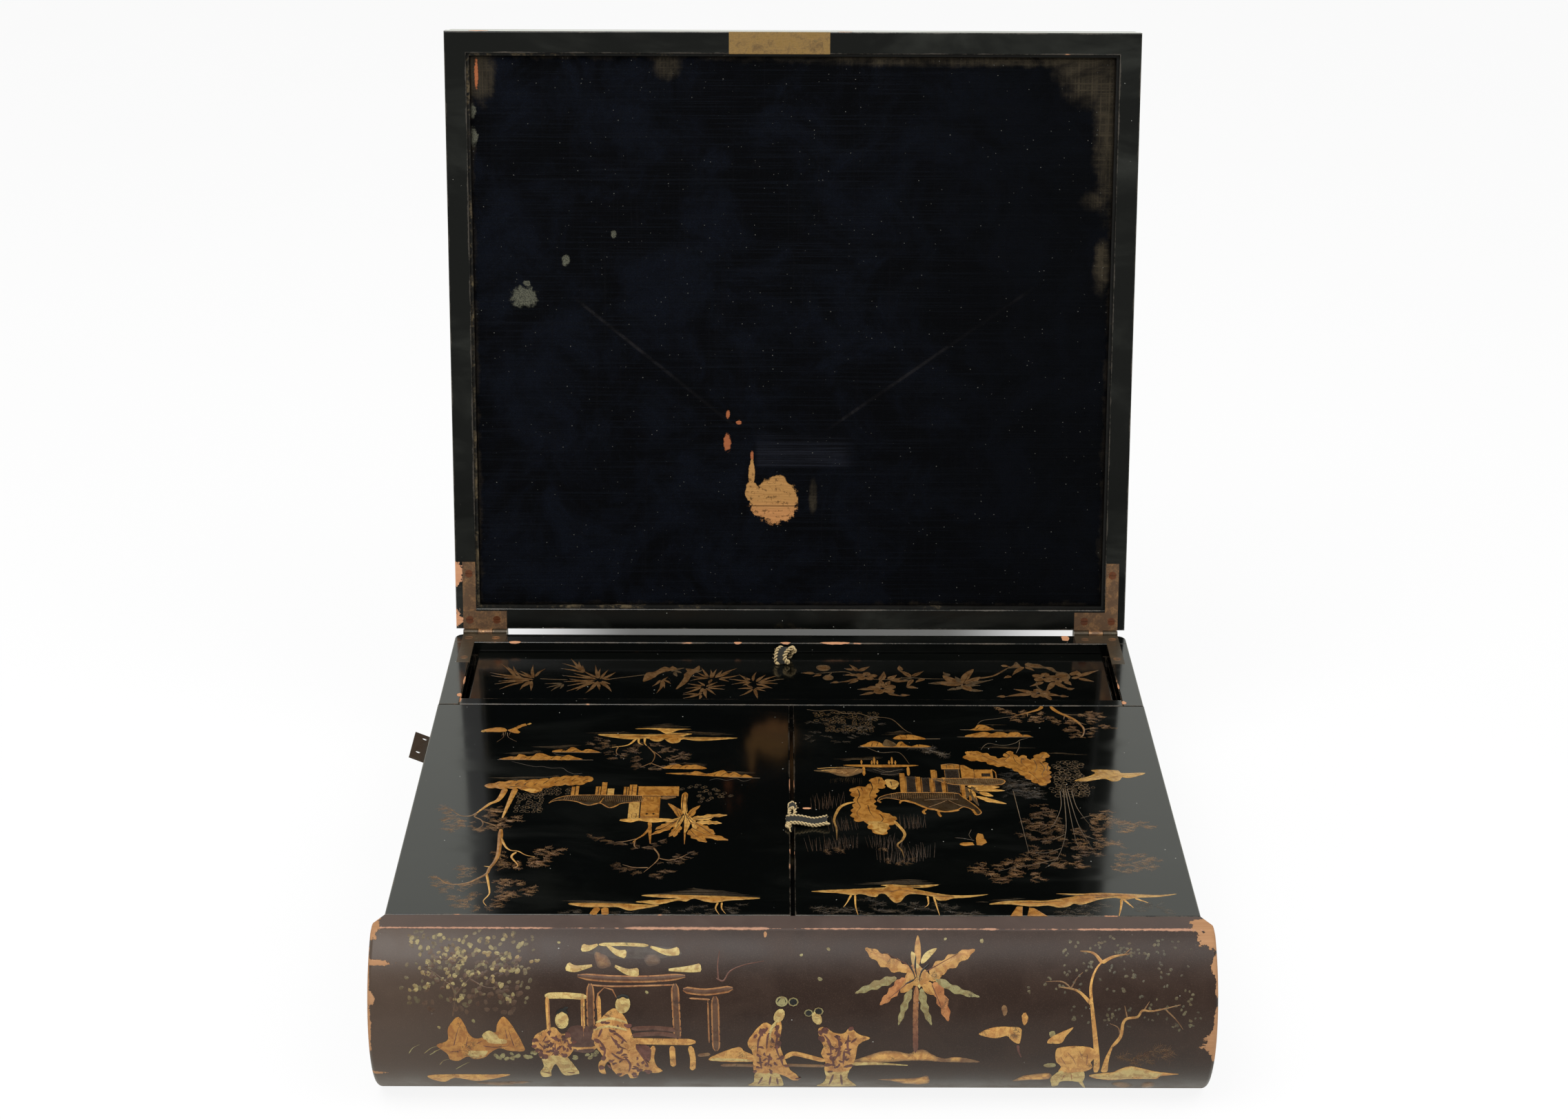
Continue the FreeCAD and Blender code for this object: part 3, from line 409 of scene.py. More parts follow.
def panel_finish():
    """Worn brown lacquer: a dull top, an arris rubbed to the primer and ends chipped to the wood, with a painted
    highlight at the left end and a painted reflection of the floor along the foot.
    """
    net = Finish("front panel lacquer")
    place = net.place()
    film = net.run(FILM, Place=place, Dust=0.7)
    grain = net.run(GRAIN, Place=place)
    fine = net.cloud(place, 1900, 2, 0.7)
    broad = net.cloud(place, 42, 5, 0.66, 0.4)
    skin = net.mix(net.span(broad, 0.34, 0.7), BROWN_BLACK, rgb(54, 39, 31))
    skin = net.mix(net.span(fine, 0.5, 0.78, 0, 0.4), skin, rgb(88, 70, 58))
    x, y, z = net.parts(place)
    # painted highlight: the panel is lighter towards its left end
    skin = net.mix(net.span(x, -0.2, -0.1, 0.3, 0), skin, rgb(112, 96, 82))
    top = net.span(z, 0.0893, 0.0899)
    skin = net.mix(net.times(top, 0.8), skin, net.mix(broad, rgb(62, 49, 45), rgb(94, 79, 72)))
    arris = net.plus(net.size(net.less(y, -0.1825)), net.size(net.less(z, FLAP_TOP * MM)))
    ragged = net.times_plus(net.less(net.cloud(place, 420, 4, 0.7), 0.5), 0.0026, arris)
    worn = net.add("ShaderNodeValToRGB", {0: net.times_plus(x, 1 / (PANEL_LENGTH * MM), 0.5)})
    stops = worn.color_ramp.elements
    for where, share in zip(ARRIS_WEAR[::2], ARRIS_WEAR[1::2]):
        stops.new(0.5 + where / PANEL_LENGTH).color = (share, share, share, 1)
    rubbed = net.fall(net.sum("DIVIDE", ragged, net.times_plus(worn.outputs[0], 0.0016, 0.00001)), 0.3, 1)
    skin = net.mix(rubbed, skin, net.mix(fine, rgb(150, 106, 84), rgb(204, 160, 132)))
    # painted reflection of the floor: the foot of the panel is lighter, and a little rougher
    lit_foot = net.fall(z, 0, 0.016)
    skin = net.mix(net.times(lit_foot, 0.4), skin, rgb(104, 82, 66))
    bare = net.spots(place, PANEL_CHIPS, 0.5, 0.05)
    wood = net.mix(grain["Grain"], rgb(138, 96, 64), rgb(188, 144, 104))
    skin = net.mix(bare, skin, wood)
    net.coat("Base Color", net.mix(film["Dust"], skin, DUST))
    gloss = net.times_plus(net.most(top, lit_foot), 0.22, net.span(broad, 0.35, 0.7, 0.3, 0.42))
    net.coat("Roughness", net.times_plus(net.most(bare, rubbed), 0.4, gloss, clamp=True))
    sunk = net.times(net.most(bare, rubbed), -0.8)
    lift = net.plus(net.times_plus(fine, 0.12, net.times(film["Height"], 0.2)), sunk)
    net.bump(lift, 0.0007, 0.6)
    net.coat("IOR", 1.33)
    return net.made


# how far the arris is rubbed, from left to right: x mm and share
ARRIS_WEAR = numbers("-205 .6 -118 .55 -115 0 -83 0 -80 1 -13 1 -11 0 3 0 6 .5 60 .5 88 .35 91 0 95 .8 "
                     "98 .8 100 0 125 0 127 .9 129 0 137 0 140 .6 176 .8 186 1 205 1")
# where the panel is chipped to the wood
PANEL_CHIPS = spots("203 -178 90 10 7 3/205.5 -186.5 87.6 8.5 6.5 6/205.5 -196 79 3.2 6 5/"
                    "205.5 -202 71 1.8 6 6/205.5 -208 52 2.2 6 9/205.5 -209 42 6.4 6 6.5/205.5 -208 34 2 6 5/"
                    "-204.5 -178 88 3.8 10 4/-205.5 -197 78.6 12 6 1.1/-205.5 -208 50 1.7 6 15/"
                    "-205.5 -203.6 21 7 6 1/-205.5 -206 64 3.6 6 4/-205.5 -200 73 .8 12 17/"
                    "-13.4 -184.5 87.8 .9 2 1.6")

BRASS = (rgb(200, 152, 106), rgb(102, 77, 56))
brass("left_lid_hinge_leaf right_lid_hinge_leaf", *BRASS, 0.62, on_lid=True)
brass("lid_hinge_screws", rgb(150, 92, 62), rgb(84, 52, 38), 0.5, on_lid=True, name="lid screw brass")
brass("left_case_hinge_leaf right_case_hinge_leaf", rgb(150, 122, 88), rgb(66, 56, 42), 0.72)
brass("left_lid_pin right_lid_pin case_hinge_screws left_flap_leaves right_flap_leaves left_flap_pins "
      "right_flap_pins left_flap_screws right_flap_screws left_front_wall_leaf right_front_wall_leaf "
      "right_rear_wall_leaf wall_leaf_screws", *BRASS, 0.64)
brass("loose_hinge_leaf", rgb(150, 118, 80), rgb(70, 55, 42), 0.75, name="loose leaf brass")
brass("strike_plate strike_nails", rgb(206, 166, 104), rgb(112, 88, 54), 0.5, on_lid=True)
brass("water_dropper", rgb(204, 166, 98), rgb(112, 88, 54), 0.42, name="dropper brass")


def slate():
    """Bedded grey slate with dried ink in patches."""
    net = Finish("ink slate")
    place = net.place()
    bed = net.cloud(net.stretch(place, (20, 20, 260)), 1, 4, 0.6, 0.4)
    fine = net.cloud(place, 1300, 3, 0.6)
    low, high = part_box("inkstone")
    wear = net.run(EDGE_WEAR, Place=place, Low=tuple(low), High=tuple(high), Width=0.0012)
    skin = net.mix(bed, rgb(34, 35, 38), rgb(58, 58, 60))
    skin = net.mix(net.times(wear["Rubbed"], 0.5), skin, rgb(92, 92, 92))
    net.coat("Base Color", net.mix(net.span(net.cloud(place, 60, 4), 0.5, 0.65), skin, rgb(14, 14, 16)))
    net.coat("Roughness", net.span(fine, 0.3, 0.7, 0.45, 0.7))
    net.bump(fine, 0.0003, 0.4)
    return net.made


dress("inkstone", slate())


def bead_finish():
    """The thin bead round the velvet: worn gilding over black, with painted glints, more of them towards the left.
    """
    net = Finish("gilt bead")
    place = net.place(True)
    worn = net.cloud(place, 60, 4, 0.65, 0.4)
    fine = net.cloud(place, 800, 3, 0.6)
    both = net.times_plus(fine, 0.4, net.times(worn, 0.7))
    # painted glints: more of the pale bead shows towards the left
    left = net.span(net.parts(place)[0], -0.19, 0.05, 0.14, 0)
    shown = net.span(net.plus(both, left), 0.65, 0.84)
    net.coat("Base Color", net.mix(shown, rgb(14, 13, 11), rgb(124, 108, 80)))
    net.coat("Roughness", net.span(both, 0.3, 0.8, 0.25, 0.55))
    net.coat("Metallic", net.times(shown, 0.5))
    net.bump(both, 0.0003, 0.4)
    return net.made


dress("velvet_bead", bead_finish())


# ---------------------------------------------------------------- mesh makers

def mesh_object(name, points, faces, made=None, body=None):
    mesh = bpy.data.meshes.new(name)
    mesh.from_pydata([tuple(p) for p in points], [], faces)
    mesh.update()
    obj = bpy.data.objects.new(name, mesh)
    bpy.context.scene.collection.objects.link(obj)
    if made:
        mesh.materials.append(made)
    if body:
        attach(obj, body)
    return obj


def ripple(x, y, scale, level):
    return noise.noise(Vector((x * scale, y * scale, level)))


def open_lid(x, y, z):
    """Where a point of the shut lid, mm, is with the lid open, m."""
    dy, dz = y * MM - LID_PIN[1], z * MM - LID_PIN[2]
    cos, sin = math.cos(-LID_TURN), math.sin(-LID_TURN)
    return (x * MM, LID_PIN[1] + dy * cos - dz * sin, LID_PIN[2] + dy * sin + dz * cos)


def worn_panel():
    """The front panel with both its upper outer corners worn away."""
    form = bmesh.new()
    form.from_mesh(frame["nodes"]["front_panel"].data)
    bmesh.ops.remove_doubles(form, verts=form.verts, dist=1e-6)
    for side in (-1, 1):
        for worn, back, up in ((5.4, 0.55, 0.7), (2.5, 0.2, 0.27), (1.5, 0.08, 0.12)):
            corner = Vector((side * (PANEL_LENGTH / 2 - worn), -170, FLAP_TOP)) * MM
            bmesh.ops.bisect_plane(form, geom=form.verts[:] + form.edges[:] + form.faces[:], plane_co=corner,
                                   plane_no=Vector((side, back, up)).normalized(), clear_outer=True)
            bmesh.ops.holes_fill(form, edges=[edge for edge in form.edges if edge.is_boundary], sides=0)
    form.verts.index_update()
    faces = [[vertex.index for vertex in face.verts] for face in form.faces]
    obj = mesh_object("front_panel_worn", [vertex.co for vertex in form.verts], faces, panel_finish(), "case")
    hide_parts("front_panel")
    for face in obj.data.polygons:
        face.use_smooth = True
    obj.data.set_sharp_from_angle(angle=math.radians(25))


worn_panel()

# ---------------------------------------------------------------- the velvet

VELVET_SIDE = 186
VELVET_BACK = 156.5
VELVET_FRONT = -169
VELVET_FACE = 94.3
VELVET_DEPTH = 3.6


def velvet_finish():
    """Blue-black pile over its weave, browned and threadbare at the rim, gone to the wood in places."""
    net = Finish("blue-black velvet")
    place = net.place(True)
    x, y, _ = net.parts(place)
    pile = net.cloud(net.stretch(place, (1900, 1900, 600)), 1, 3, 0.7)
    weft = net.cloud(net.stretch(place, (14, 1100, 60)), 1, 3, 0.6)
    warp = net.cloud(net.stretch(place, (900, 11, 60)), 1, 3, 0.6)
    crushed = net.cloud(place, 26, 8, 0.7, 0.5)
    skin = net.mix(net.span(crushed, 0.4, 0.66), rgb(2, 3, 5), rgb(14, 19, 29))
    skin = net.mix(net.span(weft, 0.5, 0.66, 0, 0.7), skin, rgb(17, 21, 28))
    skin = net.mix(net.span(warp, 0.56, 0.72, 0, 0.55), skin, rgb(15, 16, 20))
    skin = net.mix(net.span(pile, 0.34, 0.7, 0.75, 0), skin, rgb(2, 2, 4))
    skin = net.mix(net.span(pile, 0.6, 0.78, 0, 0.5), skin, rgb(38, 42, 48))
    # the press mark of something that was kept under the lid
    press = net.times(net.span(x, -0.022, -0.019), net.fall(x, 0.026, 0.04))
    press = net.times(press, net.times(net.span(y, 0.046, 0.068), net.fall(y, 0.0704, 0.0728)))
    skin = net.mix(net.times(press, net.span(weft, 0.4, 0.6, 0.1, 0.45)), skin, rgb(40, 42, 50))
    # two creases that run down to it
    for near, far in (((-0.03, 0.05), (-0.13, -0.031)), ((0.02, 0.05), (0.145, -0.038))):
        run, fall = far[0] - near[0], far[1] - near[1]
        size = math.hypot(run, fall)
        off_x, off_y = net.less(x, near[0]), net.less(y, near[1])
        along = net.plus(net.times(off_x, run / size), net.times(off_y, fall / size))
        aside = net.less(net.times(off_x, fall / size), net.times(off_y, run / size))
        ends = net.times(net.span(along, 0, 0.01), net.fall(along, size - 0.02, size))
        line = net.times(net.fall(net.size(aside), 0.0003, 0.0014), ends)
        skin = net.mix(net.times(line, net.span(crushed, 0.42, 0.56, 0.05, 0.3)), skin, rgb(58, 55, 54))
    # painted shade: the velvet is darker towards its right side
    skin = net.mix(net.span(x, 0.02, 0.15, 0, 0.65), skin, rgb(2, 3, 5))
    rim_x = net.less(VELVET_SIDE * MM, net.size(x))
    rim_y = net.least(net.less(VELVET_BACK * MM, y), net.plus(y, -VELVET_FRONT * MM))
    torn = net.cloud(place, 90, 5, 0.68)
    rim = net.times_plus(net.less(torn, 0.5), 0.012, net.least(rim_x, rim_y))
    threads = net.span(net.most(weft, warp), 0.42, 0.64, 0.5, 1)
    faded = net.times(net.span(rim, -0.001, 0.003, 0.45, 0), threads)
    skin = net.mix(faded, skin, rgb(64, 56, 44))
    thin = net.times(net.spots(place, THREADBARE, 0.55, 1.6, 130), net.span(crushed, 0.36, 0.58, 0.15, 1))
    skin = net.mix(net.times(net.times(thin, threads), 0.9), skin, rgb(64, 57, 44))
    mould = net.spots(place, MOULD, 0.6, 0.6, 320)
    skin = net.mix(net.times(mould, net.span(pile, 0.36, 0.6, 0.25, 0.95)), skin, rgb(98, 98, 84))
    dot = net.flecks(place, 380, 0.6, 0.07, 0.03)
    skin = net.mix(net.times(dot, 0.8), skin, rgb(122, 122, 116))
    salmon = net.spots(place, SALMON, 0.5, 0.4, 600)
    bare = net.spots(place, BARE_FIELD, 0.26, 0.12, 240)
    bare = net.times(bare, net.fall(x, 0.004, 0.0043))
    grain = net.run(GRAIN, Place=place)
    fleck = net.span(net.cloud(place, 360, 5, 0.75), 0.54, 0.62)
    crack = net.times(net.fall(net.size(net.less(y, 0.0952)), 0.0001, 0.0005), 0.85)
    wood = net.mix(grain["Grain"], rgb(144, 99, 53), rgb(196, 150, 92))
    wood = net.mix(net.span(y, 0.09, 0.1, 0, 0.7), wood, rgb(190, 132, 84))
    wood = net.mix(net.most(net.times(fleck, 0.72), crack), wood, rgb(70, 46, 26))
    skin = net.mix(bare, net.mix(salmon, skin, rgb(156, 92, 58)), wood)
    bare = net.most(bare, salmon)
    net.coat("Base Color", skin)
    net.coat("Roughness", net.span(pile, 0.3, 0.7, 0.8, 1))
    lift = net.times(net.plus(net.times(pile, 1.4), net.plus(weft, warp)), net.less(1, bare))
    net.bump(net.plus(lift, net.times(grain["Height"], bare)), 0.0008, 0.6)
    net.coat("Specular IOR Level", 0.07)
    net.coat("Sheen Weight", 0.03)
    net.coat("Sheen Roughness", 0.5)
    net.coat("Sheen Tint", rgb(84, 92, 120))
    return net.made


# where the velvet is worn, with the lid shut
THREADBARE = spots("183 -150 4.5 34/172 -160 9 9/174 -86 3.4 2.6/110 -168.5 70 2.6/-72 -164 4 4/-180 -158 4 8/"
                   "13 89 1.2 5/181 -48 2.5 8", VELVET_FACE, 9)
MOULD = spots("-157 -29 5.6 4.4/-155 -37 1.6 1.3/-132 -51 1.6 2.4/-184.8 -137 1.6 2.8/-184.6 -122 2.2 3.6/"
              "-104 -66 1.1 1.6", VELVET_FACE, 9)
SALMON = spots("-37.4 40 1 2/-31 45 1.3 1/-38 57 1.7 4/-23.2 65 .8 2.4/-182 -158 .9 7", VELVET_FACE, 9)
BARE_FIELD = spots("-9.5 92.5 13.4 12.4/-23 86.5 4.2 6/-23.4 76 1.8 8/-8 80.5 4.5 4/-19 97 4.4 4.4", VELVET_FACE, 9)


def velvet():
    """The velvet field: a thin padded sheet, soft at its tucked edges, its pile gone in places."""
    across, along = 150, 134
    grid = [(VELVET_SIDE * (2 * column / across - 1), VELVET_FRONT + (VELVET_BACK - VELVET_FRONT) * row / along)
            for row in range(along + 1) for column in range(across + 1)]
    points, faces = [], []
    for x, y in grid:
        edge = min(VELVET_SIDE - abs(x), VELVET_BACK - y, y - VELVET_FRONT)
        tuck = 1.2 * math.exp(-edge / 1.6)
        wave = 0.22 * ripple(x, y, 0.02, 3) + 0.1 * ripple(x, y, 0.09, 7)
        points.append(open_lid(x, y, VELVET_FACE + 0.1 + tuck + max(-0.2, wave) * min(1, edge / 8)))
    points += [open_lid(x, y, VELVET_FACE + VELVET_DEPTH) for x, y in grid]
    top = len(grid)
    line = across + 1
    for row in range(along):
        for column in range(across):
            a = row * line + column
            faces.append((a, a + line, a + line + 1, a + 1))
            faces.append((top + a, top + a + 1, top + a + line + 1, top + a + line))
    ring = list(range(across)) + [r * line + across for r in range(along)]
    ring += [along * line + c for c in range(across, 0, -1)] + [r * line for r in range(along, 0, -1)]
    for a, b in zip(ring, ring[1:] + ring[:1]):
        faces.append((a, b, top + b, top + a))
    obj = mesh_object("velvet_pile", points, faces, velvet_finish(), "lid")
    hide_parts("velvet_field")
    for face in obj.data.polygons:
        face.use_smooth = True


velvet()


# ---------------------------------------------------------------- the gold painting

# the painting's tones, sRGB
TONES = {name: rgb(*map(float, values)) for name, *values in (line.split() for line in """\
gold 166 115 50
pale 184 144 78
tan 126 94 58
dim 88 70 46
near 178 132 78
far 142 104 60
smoke 52 39 22
shade 24 21 17
ink 26 18 12
strip 104 77 48
faint 84 69 50
ochre 204 156 82
cloth 190 140 74
beam 160 112 64
dull 106 82 48
cream 196 174 110
rust 104 60 48
olive 146 138 92
hair 20 20 18
frond 182 138 72
stone 176 124 54""".splitlines())}
SHAPES = ("leaf", "blade", "palm", "taper", "round", "even")


def at(words, many=2):
    """Points in mm from a line of numbers: the first point, then the step to each of the others."""
    steps = numbers(words)
    return list(zip(*([round(value, 4) for value in accumulate(steps[k::many])] for k in range(many))))


def setting(word):
    """A word of a row: a colour, a point, a number or a name."""
    if word[0].isalpha():
        return word
    values = [float(value) if "." in value else int(value) for value in word.split(",")]
    return rgb(*values) if len(values) == 3 else values if len(values) == 2 else values[0]


def extent(points):
    """The least and the greatest across, and the least and the greatest along."""
    return [bound(values) for values in zip(*points) for bound in (min, max)]


def eased_line(path, step, closed=False):
    """A Catmull-Rom curve through the points of a path, about a step apart."""
    count = len(path)
    made = []
    for i in range(count if closed else count - 1):
        if closed:
            a, b, c, d = (path[(i + k) % count] for k in (-1, 0, 1, 2))
        else:
            a, b, c, d = path[max(i - 1, 0)], path[i], path[i + 1], path[min(i + 2, count - 1)]
        pieces = max(1, round(math.dist(b, c) / step))
        for k in range(pieces):
            t = k / pieces
            made.append(tuple(0.5 * (2 * q + (r - p) * t + (2 * p - 5 * q + 4 * r - s) * t * t
                                     + (3 * q - p - 3 * r + s) * t ** 3)
                              for p, q, r, s in zip(a, b, c, d)))
    return made if closed else made + [path[-1]]


def breadth(shape, t):
    """The share of a stroke's breadth at t along it."""
    if shape == "leaf":
        return max(0.06, math.sin(math.pi * t ** 0.85) ** 0.8)
    if shape == "blade":
        return max(0.05, math.sin(math.pi * t ** 0.62) ** 1.25)
    if shape == "palm":
        return max(0.06, math.sin(math.pi * t ** 0.7) ** 0.6) * (0.8 + 0.2 * math.cos(25 * t))
    if shape == "taper":
        return max(0.12, min(1, 6 * t + 0.5) * (1 - 0.78 * t))
    if shape == "round":
        return max(0.1, math.sqrt(max(0, 1 - (2 * t - 1) ** 2)))
    return min(1, 5 * t + 0.35, 5 * (1 - t) + 0.35)


class Painting:
    """Low relief strokes and fills in flat mm: across, along and height."""

    def __init__(self, seed):
        self.points, self.faces, self.paint = [], [], []
        self.random = random.Random(seed)
        self.sown = {}

    def draw(self, text):
        """Paints rows of text: each says what, its sizes, tones and settings, and its lines of mm.

        A row begins with its method's name. Its lines come after colons.
        """
        for row in re.split(r"\n(?=[a-z#])", text.strip()):
            head, *lines = (part.strip() for part in row.split(":"))
            what, *style = head.split()
            if what == "#":
                continue
            given, more = [], {}
            for word in style:
                key, _, value = word.rpartition("=")
                if key or value in SHAPES:
                    more[key or "shape"] = setting(value)
                else:
                    given.append(setting(value))
            getattr(self, what)(*lines, *given, **more)

    def put(self, x, y, height, tone):
        hand = 1 + 0.22 * ripple(x, y, 0.16, 1) + 0.12 * ripple(x, y, 1, 5)
        self.points.append((x, y, height))
        self.paint.append([c * hand for c in tone[:3]])
        return len(self.points) - 1

    def stroke(self, path, width, tone, shape="even", z=0, rise=0.1, end=None, step=1.2):
        path = eased_line(at(path) if isinstance(path, str) else path, step)
        tone, end = TONES.get(tone, tone), TONES.get(end, end)
        base, last, rows = 0.01 + z, len(path) - 1, []
        for i, (x, y) in enumerate(path):
            (ax, ay), (bx, by) = path[max(i - 1, 0)], path[min(i + 1, last)]
            long = math.hypot(bx - ax, by - ay) or 1
            t = i / max(last, 1)
            half = 0.5 * width * breadth(shape, t)
            tint = tone if end is None else [p + (q - p) * t for p, q in zip(tone, end)]
            nx, ny = -(by - ay) / long * half, (bx - ax) / long * half
            lift = rise * min(1, 0.5 + half)
            rows.append([self.put(x + nx * side, y + ny * side, base + up, tint)
                         for side, up in ((1, -0.03), (0, lift), (-1, -0.03))])
        for (a, b, c), (d, e, f) in zip(rows, rows[1:]):
            self.faces += [(b, e, d, a), (c, f, e, b), (a, d, f, c)]
        self.faces += [rows[0][::-1], rows[-1]]

    def strokes(self, paths, width, tone, **more):
        for path in paths.split("/"):
            self.stroke(path, width, tone, **more)

    def hollow(self, paths, width, tone):
        """Beams and posts drawn as two lines with a darker tone between them."""
        self.strokes(paths, width, tone, z=0.02, step=3)
        self.strokes(paths, width - 1.5, rgb(92, 63, 42), z=0.1, rise=0.06, step=3)

    def fill(self, outline, tone, rim=None, z=0, rise=0.14, cell=2.4, smooth=True, ragged=0.25):
        """A filled shape: its rim lies on the ground and its middle is raised."""
        outline = at(outline) if isinstance(outline, str) else outline
        tone, rim = TONES.get(tone, tone), TONES.get(rim, rim)
        if smooth:
            outline = [(x + ragged * ripple(x, y, 0.9, 2), y + ragged * ripple(x, y, 0.9, 9))
                       for x, y in eased_line(outline, 1.3, closed=True)]
        inner = []
        left, right, low, high = extent(outline)
        for i in range(int((right - left) / cell) + 1):
            for j in range(int((high - low) / cell) + 1):
                x, y = left + (i + 0.5 + 0.2 * (j % 2)) * cell, low + (j + 0.5) * cell
                if inside(x, y, outline) and all(math.dist((x, y), p) > 0.45 * cell for p in outline):
                    inner.append((x, y))
        count = len(outline)
        loop = [(i, (i + 1) % count) for i in range(count)]
        spots, _, cells, *_ = delaunay_2d_cdt([Vector(p) for p in outline + inner], loop, [], 1, 1e-6)
        on_rim = {i for i, spot in enumerate(spots) if min(math.dist(spot, p) for p in outline) < 1e-3}
        base, top, under = 0.01 + z, [], []
        for i, spot in enumerate(spots):
            if i in on_rim:
                top.append(self.put(*spot, base - 0.02, rim or tone))
                under.append(top[-1])
            else:
                top.append(self.put(*spot, base + rise, tone))
                under.append(self.put(*spot, base - 0.03, tone))
        for a, b, c in cells:
            self.faces.append((top[a], top[b], top[c]))
            low = (under[c], under[b], under[a])
            if not {a, b, c} <= on_rim:
                self.faces.append(low)
            else:
                middle = self.put(*(sum(spots[k][n] for k in (a, b, c)) / 3 for n in (0, 1)), base - 0.05, tone)
                self.faces += [(low[k - 1], low[k], middle) for k in (1, 2, 0)]

    def rock(self, outline, pitch, depth, tone, **more):
        """A fill with round lobes set all along its outline."""
        line = eased_line(at(outline), 0.9, closed=True)
        ends = list(zip(line, line[1:] + line[:1]))
        turn = 1 if sum(a * d - b * c for (a, b), (c, d) in ends) > 0 else -1
        made, gone = [], 0
        for (a, b), (c, d) in ends:
            step = math.dist((a, b), (c, d)) or 1
            out = turn * depth * abs(math.sin(math.pi * gone / pitch)) / step
            made.append((a + (d - b) * out, b - (c - a) * out))
            gone += step
        self.fill(made, tone, **more)

    def slabs(self, boxes, tone, **more):
        """Square-cornered fills, each left, top, right, bottom."""
        for words in boxes.split("/"):
            a, b, c, d = numbers(words)
            self.fill([(a, d), (c, d), (c, b), (a, b)], tone, smooth=False, **more)

    def lattice(self, box, pitch=1.5):
        """A dark pane with crossed gilt bars, kept inside its frame."""
        self.slabs(box, "ink", rise=0.03, z=0.05)
        left, top, right, bottom = numbers(box)
        wide, tall = right - left, top - bottom
        for lean in (1, -1):
            k = pitch
            while k < wide + tall:
                ends = ((left + max(0, k - tall), min(top, bottom + k)),
                        (left + min(k, wide), bottom + max(0, k - wide)))
                self.stroke([(x if lean > 0 else left + right - x, y) for x, y in ends], 0.3, "dim",
                            z=0.08, rise=0.03, step=9)
                k += pitch
        for x in (left, right):
            self.stroke([(x, top), (x, bottom)], 0.6, "gold", z=0.1, rise=0.05, step=9)

    def roof(self, outline, ribs, tone="smoke"):
        """A ribbed roof; its ribs are left, right, top, bottom, pitch and lean."""
        self.fill(outline, tone, z=0.04)
        for words in ribs.split("/"):
            x, right, top, bottom, pitch, lean = numbers(words)
            while x < right:
                self.stroke([(round(x, 2), top), (round(x + lean, 2), bottom)], 0.4, "tan",
                            z=0.18, rise=0.05, step=2)
                x += pitch
        closed = at(outline)
        self.stroke(closed + closed[:1], 0.7, "gold", z=0.14, rise=0.08)

    def wash(self, outline):
        """A thin wash: fine level strokes that end on the outline."""
        shape = at(outline)
        left, right, low, high = extent(shape)
        y = low + 0.3
        while y < high:
            level = [x for x in range(round(left), round(right)) if inside(x, y, shape)]
            if len(level) > 2:
                near, far = (x + self.random.uniform(-3, 3) for x in (level[0], level[-1]))
                self.stroke([(near, y), ((near + far) / 2, y + 0.2), (far, y)], 0.5, "dim", shape="leaf",
                            rise=0.03, step=6)
            y += self.random.uniform(0.7, 1.3)

    def ridge(self, outline, arcs="", mist="", line=""):
        """A row of little hills: its wash, its ground line, its fill and its ink arcs."""
        if mist:
            self.wash(mist)
        if line:
            self.stroke(line, 0.7, "dim", z=0.02)
        self.fill(outline, "gold", z=0.04)
        if arcs:
            self.strokes(arcs, 0.62, "ink", shape="taper", z=0.19, rise=0.04)

    def leaves(self, words, width, tone, rib=0, **more):
        """Leaves or petals, each from its base to its tip, with a dark midrib if it is given one."""
        ends = at(words)
        for (x, y), (u, v) in zip(ends[::2], ends[1::2]):
            bend = self.random.uniform(-0.08, 0.08)
            middle = ((x + u) / 2 + bend * (v - y), (y + v) / 2 - bend * (u - x))
            path, size = [(x, y), middle, (u, v)], width * self.random.uniform(0.85, 1.15)
            self.stroke(path, size, tone, **{"shape": "leaf", **more})
            if rib:
                self.stroke(path, rib, "ink", shape="taper", z=more.get("z", 0) + 0.13, rise=0.02)

    def spray(self, words, width, tone):
        """Bunches of narrow leaves, one over the other."""
        for bunch in words.split("/"):
            self.leaves(bunch, width, tone, shape="blade", z=self.random.uniform(0, 0.06))

    def sow(self, words, motif, size, tone, heart=None, spread=2, scatter=2, turn=None, z=0):
        """Notes where a small repeated motif grows; twigs reach out level, away from a heart."""
        draw, twig = self.random.uniform, motif == "twig"
        sway = 0.12 if motif == "grass" else 0.85
        for x, y in at(words) if isinstance(words, str) else words:
            for _ in range(spread * 2 if twig else spread):
                u, v = x + draw(-scatter, scatter), y + draw(-scatter, scatter)
                if twig:
                    away = math.pi * (u < heart[0] if heart else self.random.random() < 0.5)
                else:
                    away = draw(0, 6.28)
                away = away if turn is None else turn
                hand = draw(0.7, 1.15)
                self.sown.setdefault(motif, []).append(
                    (u, v, away + draw(-sway, sway), size * draw(0.75, 1.2),
                     [c * hand for c in TONES.get(tone, tone)[:3]], z))

    def twigs(self, words, *style, **more):
        """Sown twigs; each part is a heart and then the spots round it."""
        for part in words.split("/"):
            heart, *spots = at(part)
            self.sow(spots, "twig", *style, heart=heart, **more)

    def strew(self, box, *style):
        """Sows at random in a box: left, right, low, high and how many."""
        a, b, c, d, count = numbers(box)
        draw = self.random.uniform
        self.sow([(draw(a, b), draw(c, d)) for _ in range(int(count))], *style, spread=1)

    def robe(self, outline, z, count):
        """A gilt robe with a red-brown pattern of rounds."""
        self.fill(outline, "cloth", rim="ochre", z=z)
        shape, draw = at(outline), self.random.uniform
        a, b, c, d = extent(shape)
        spots = [(draw(a, b), draw(c, d)) for _ in range(count)]
        self.sow([spot for spot in spots if inside(*spot, shape)], "dab", 3.2, "rust", spread=1, scatter=0,
                 z=z + 0.12)

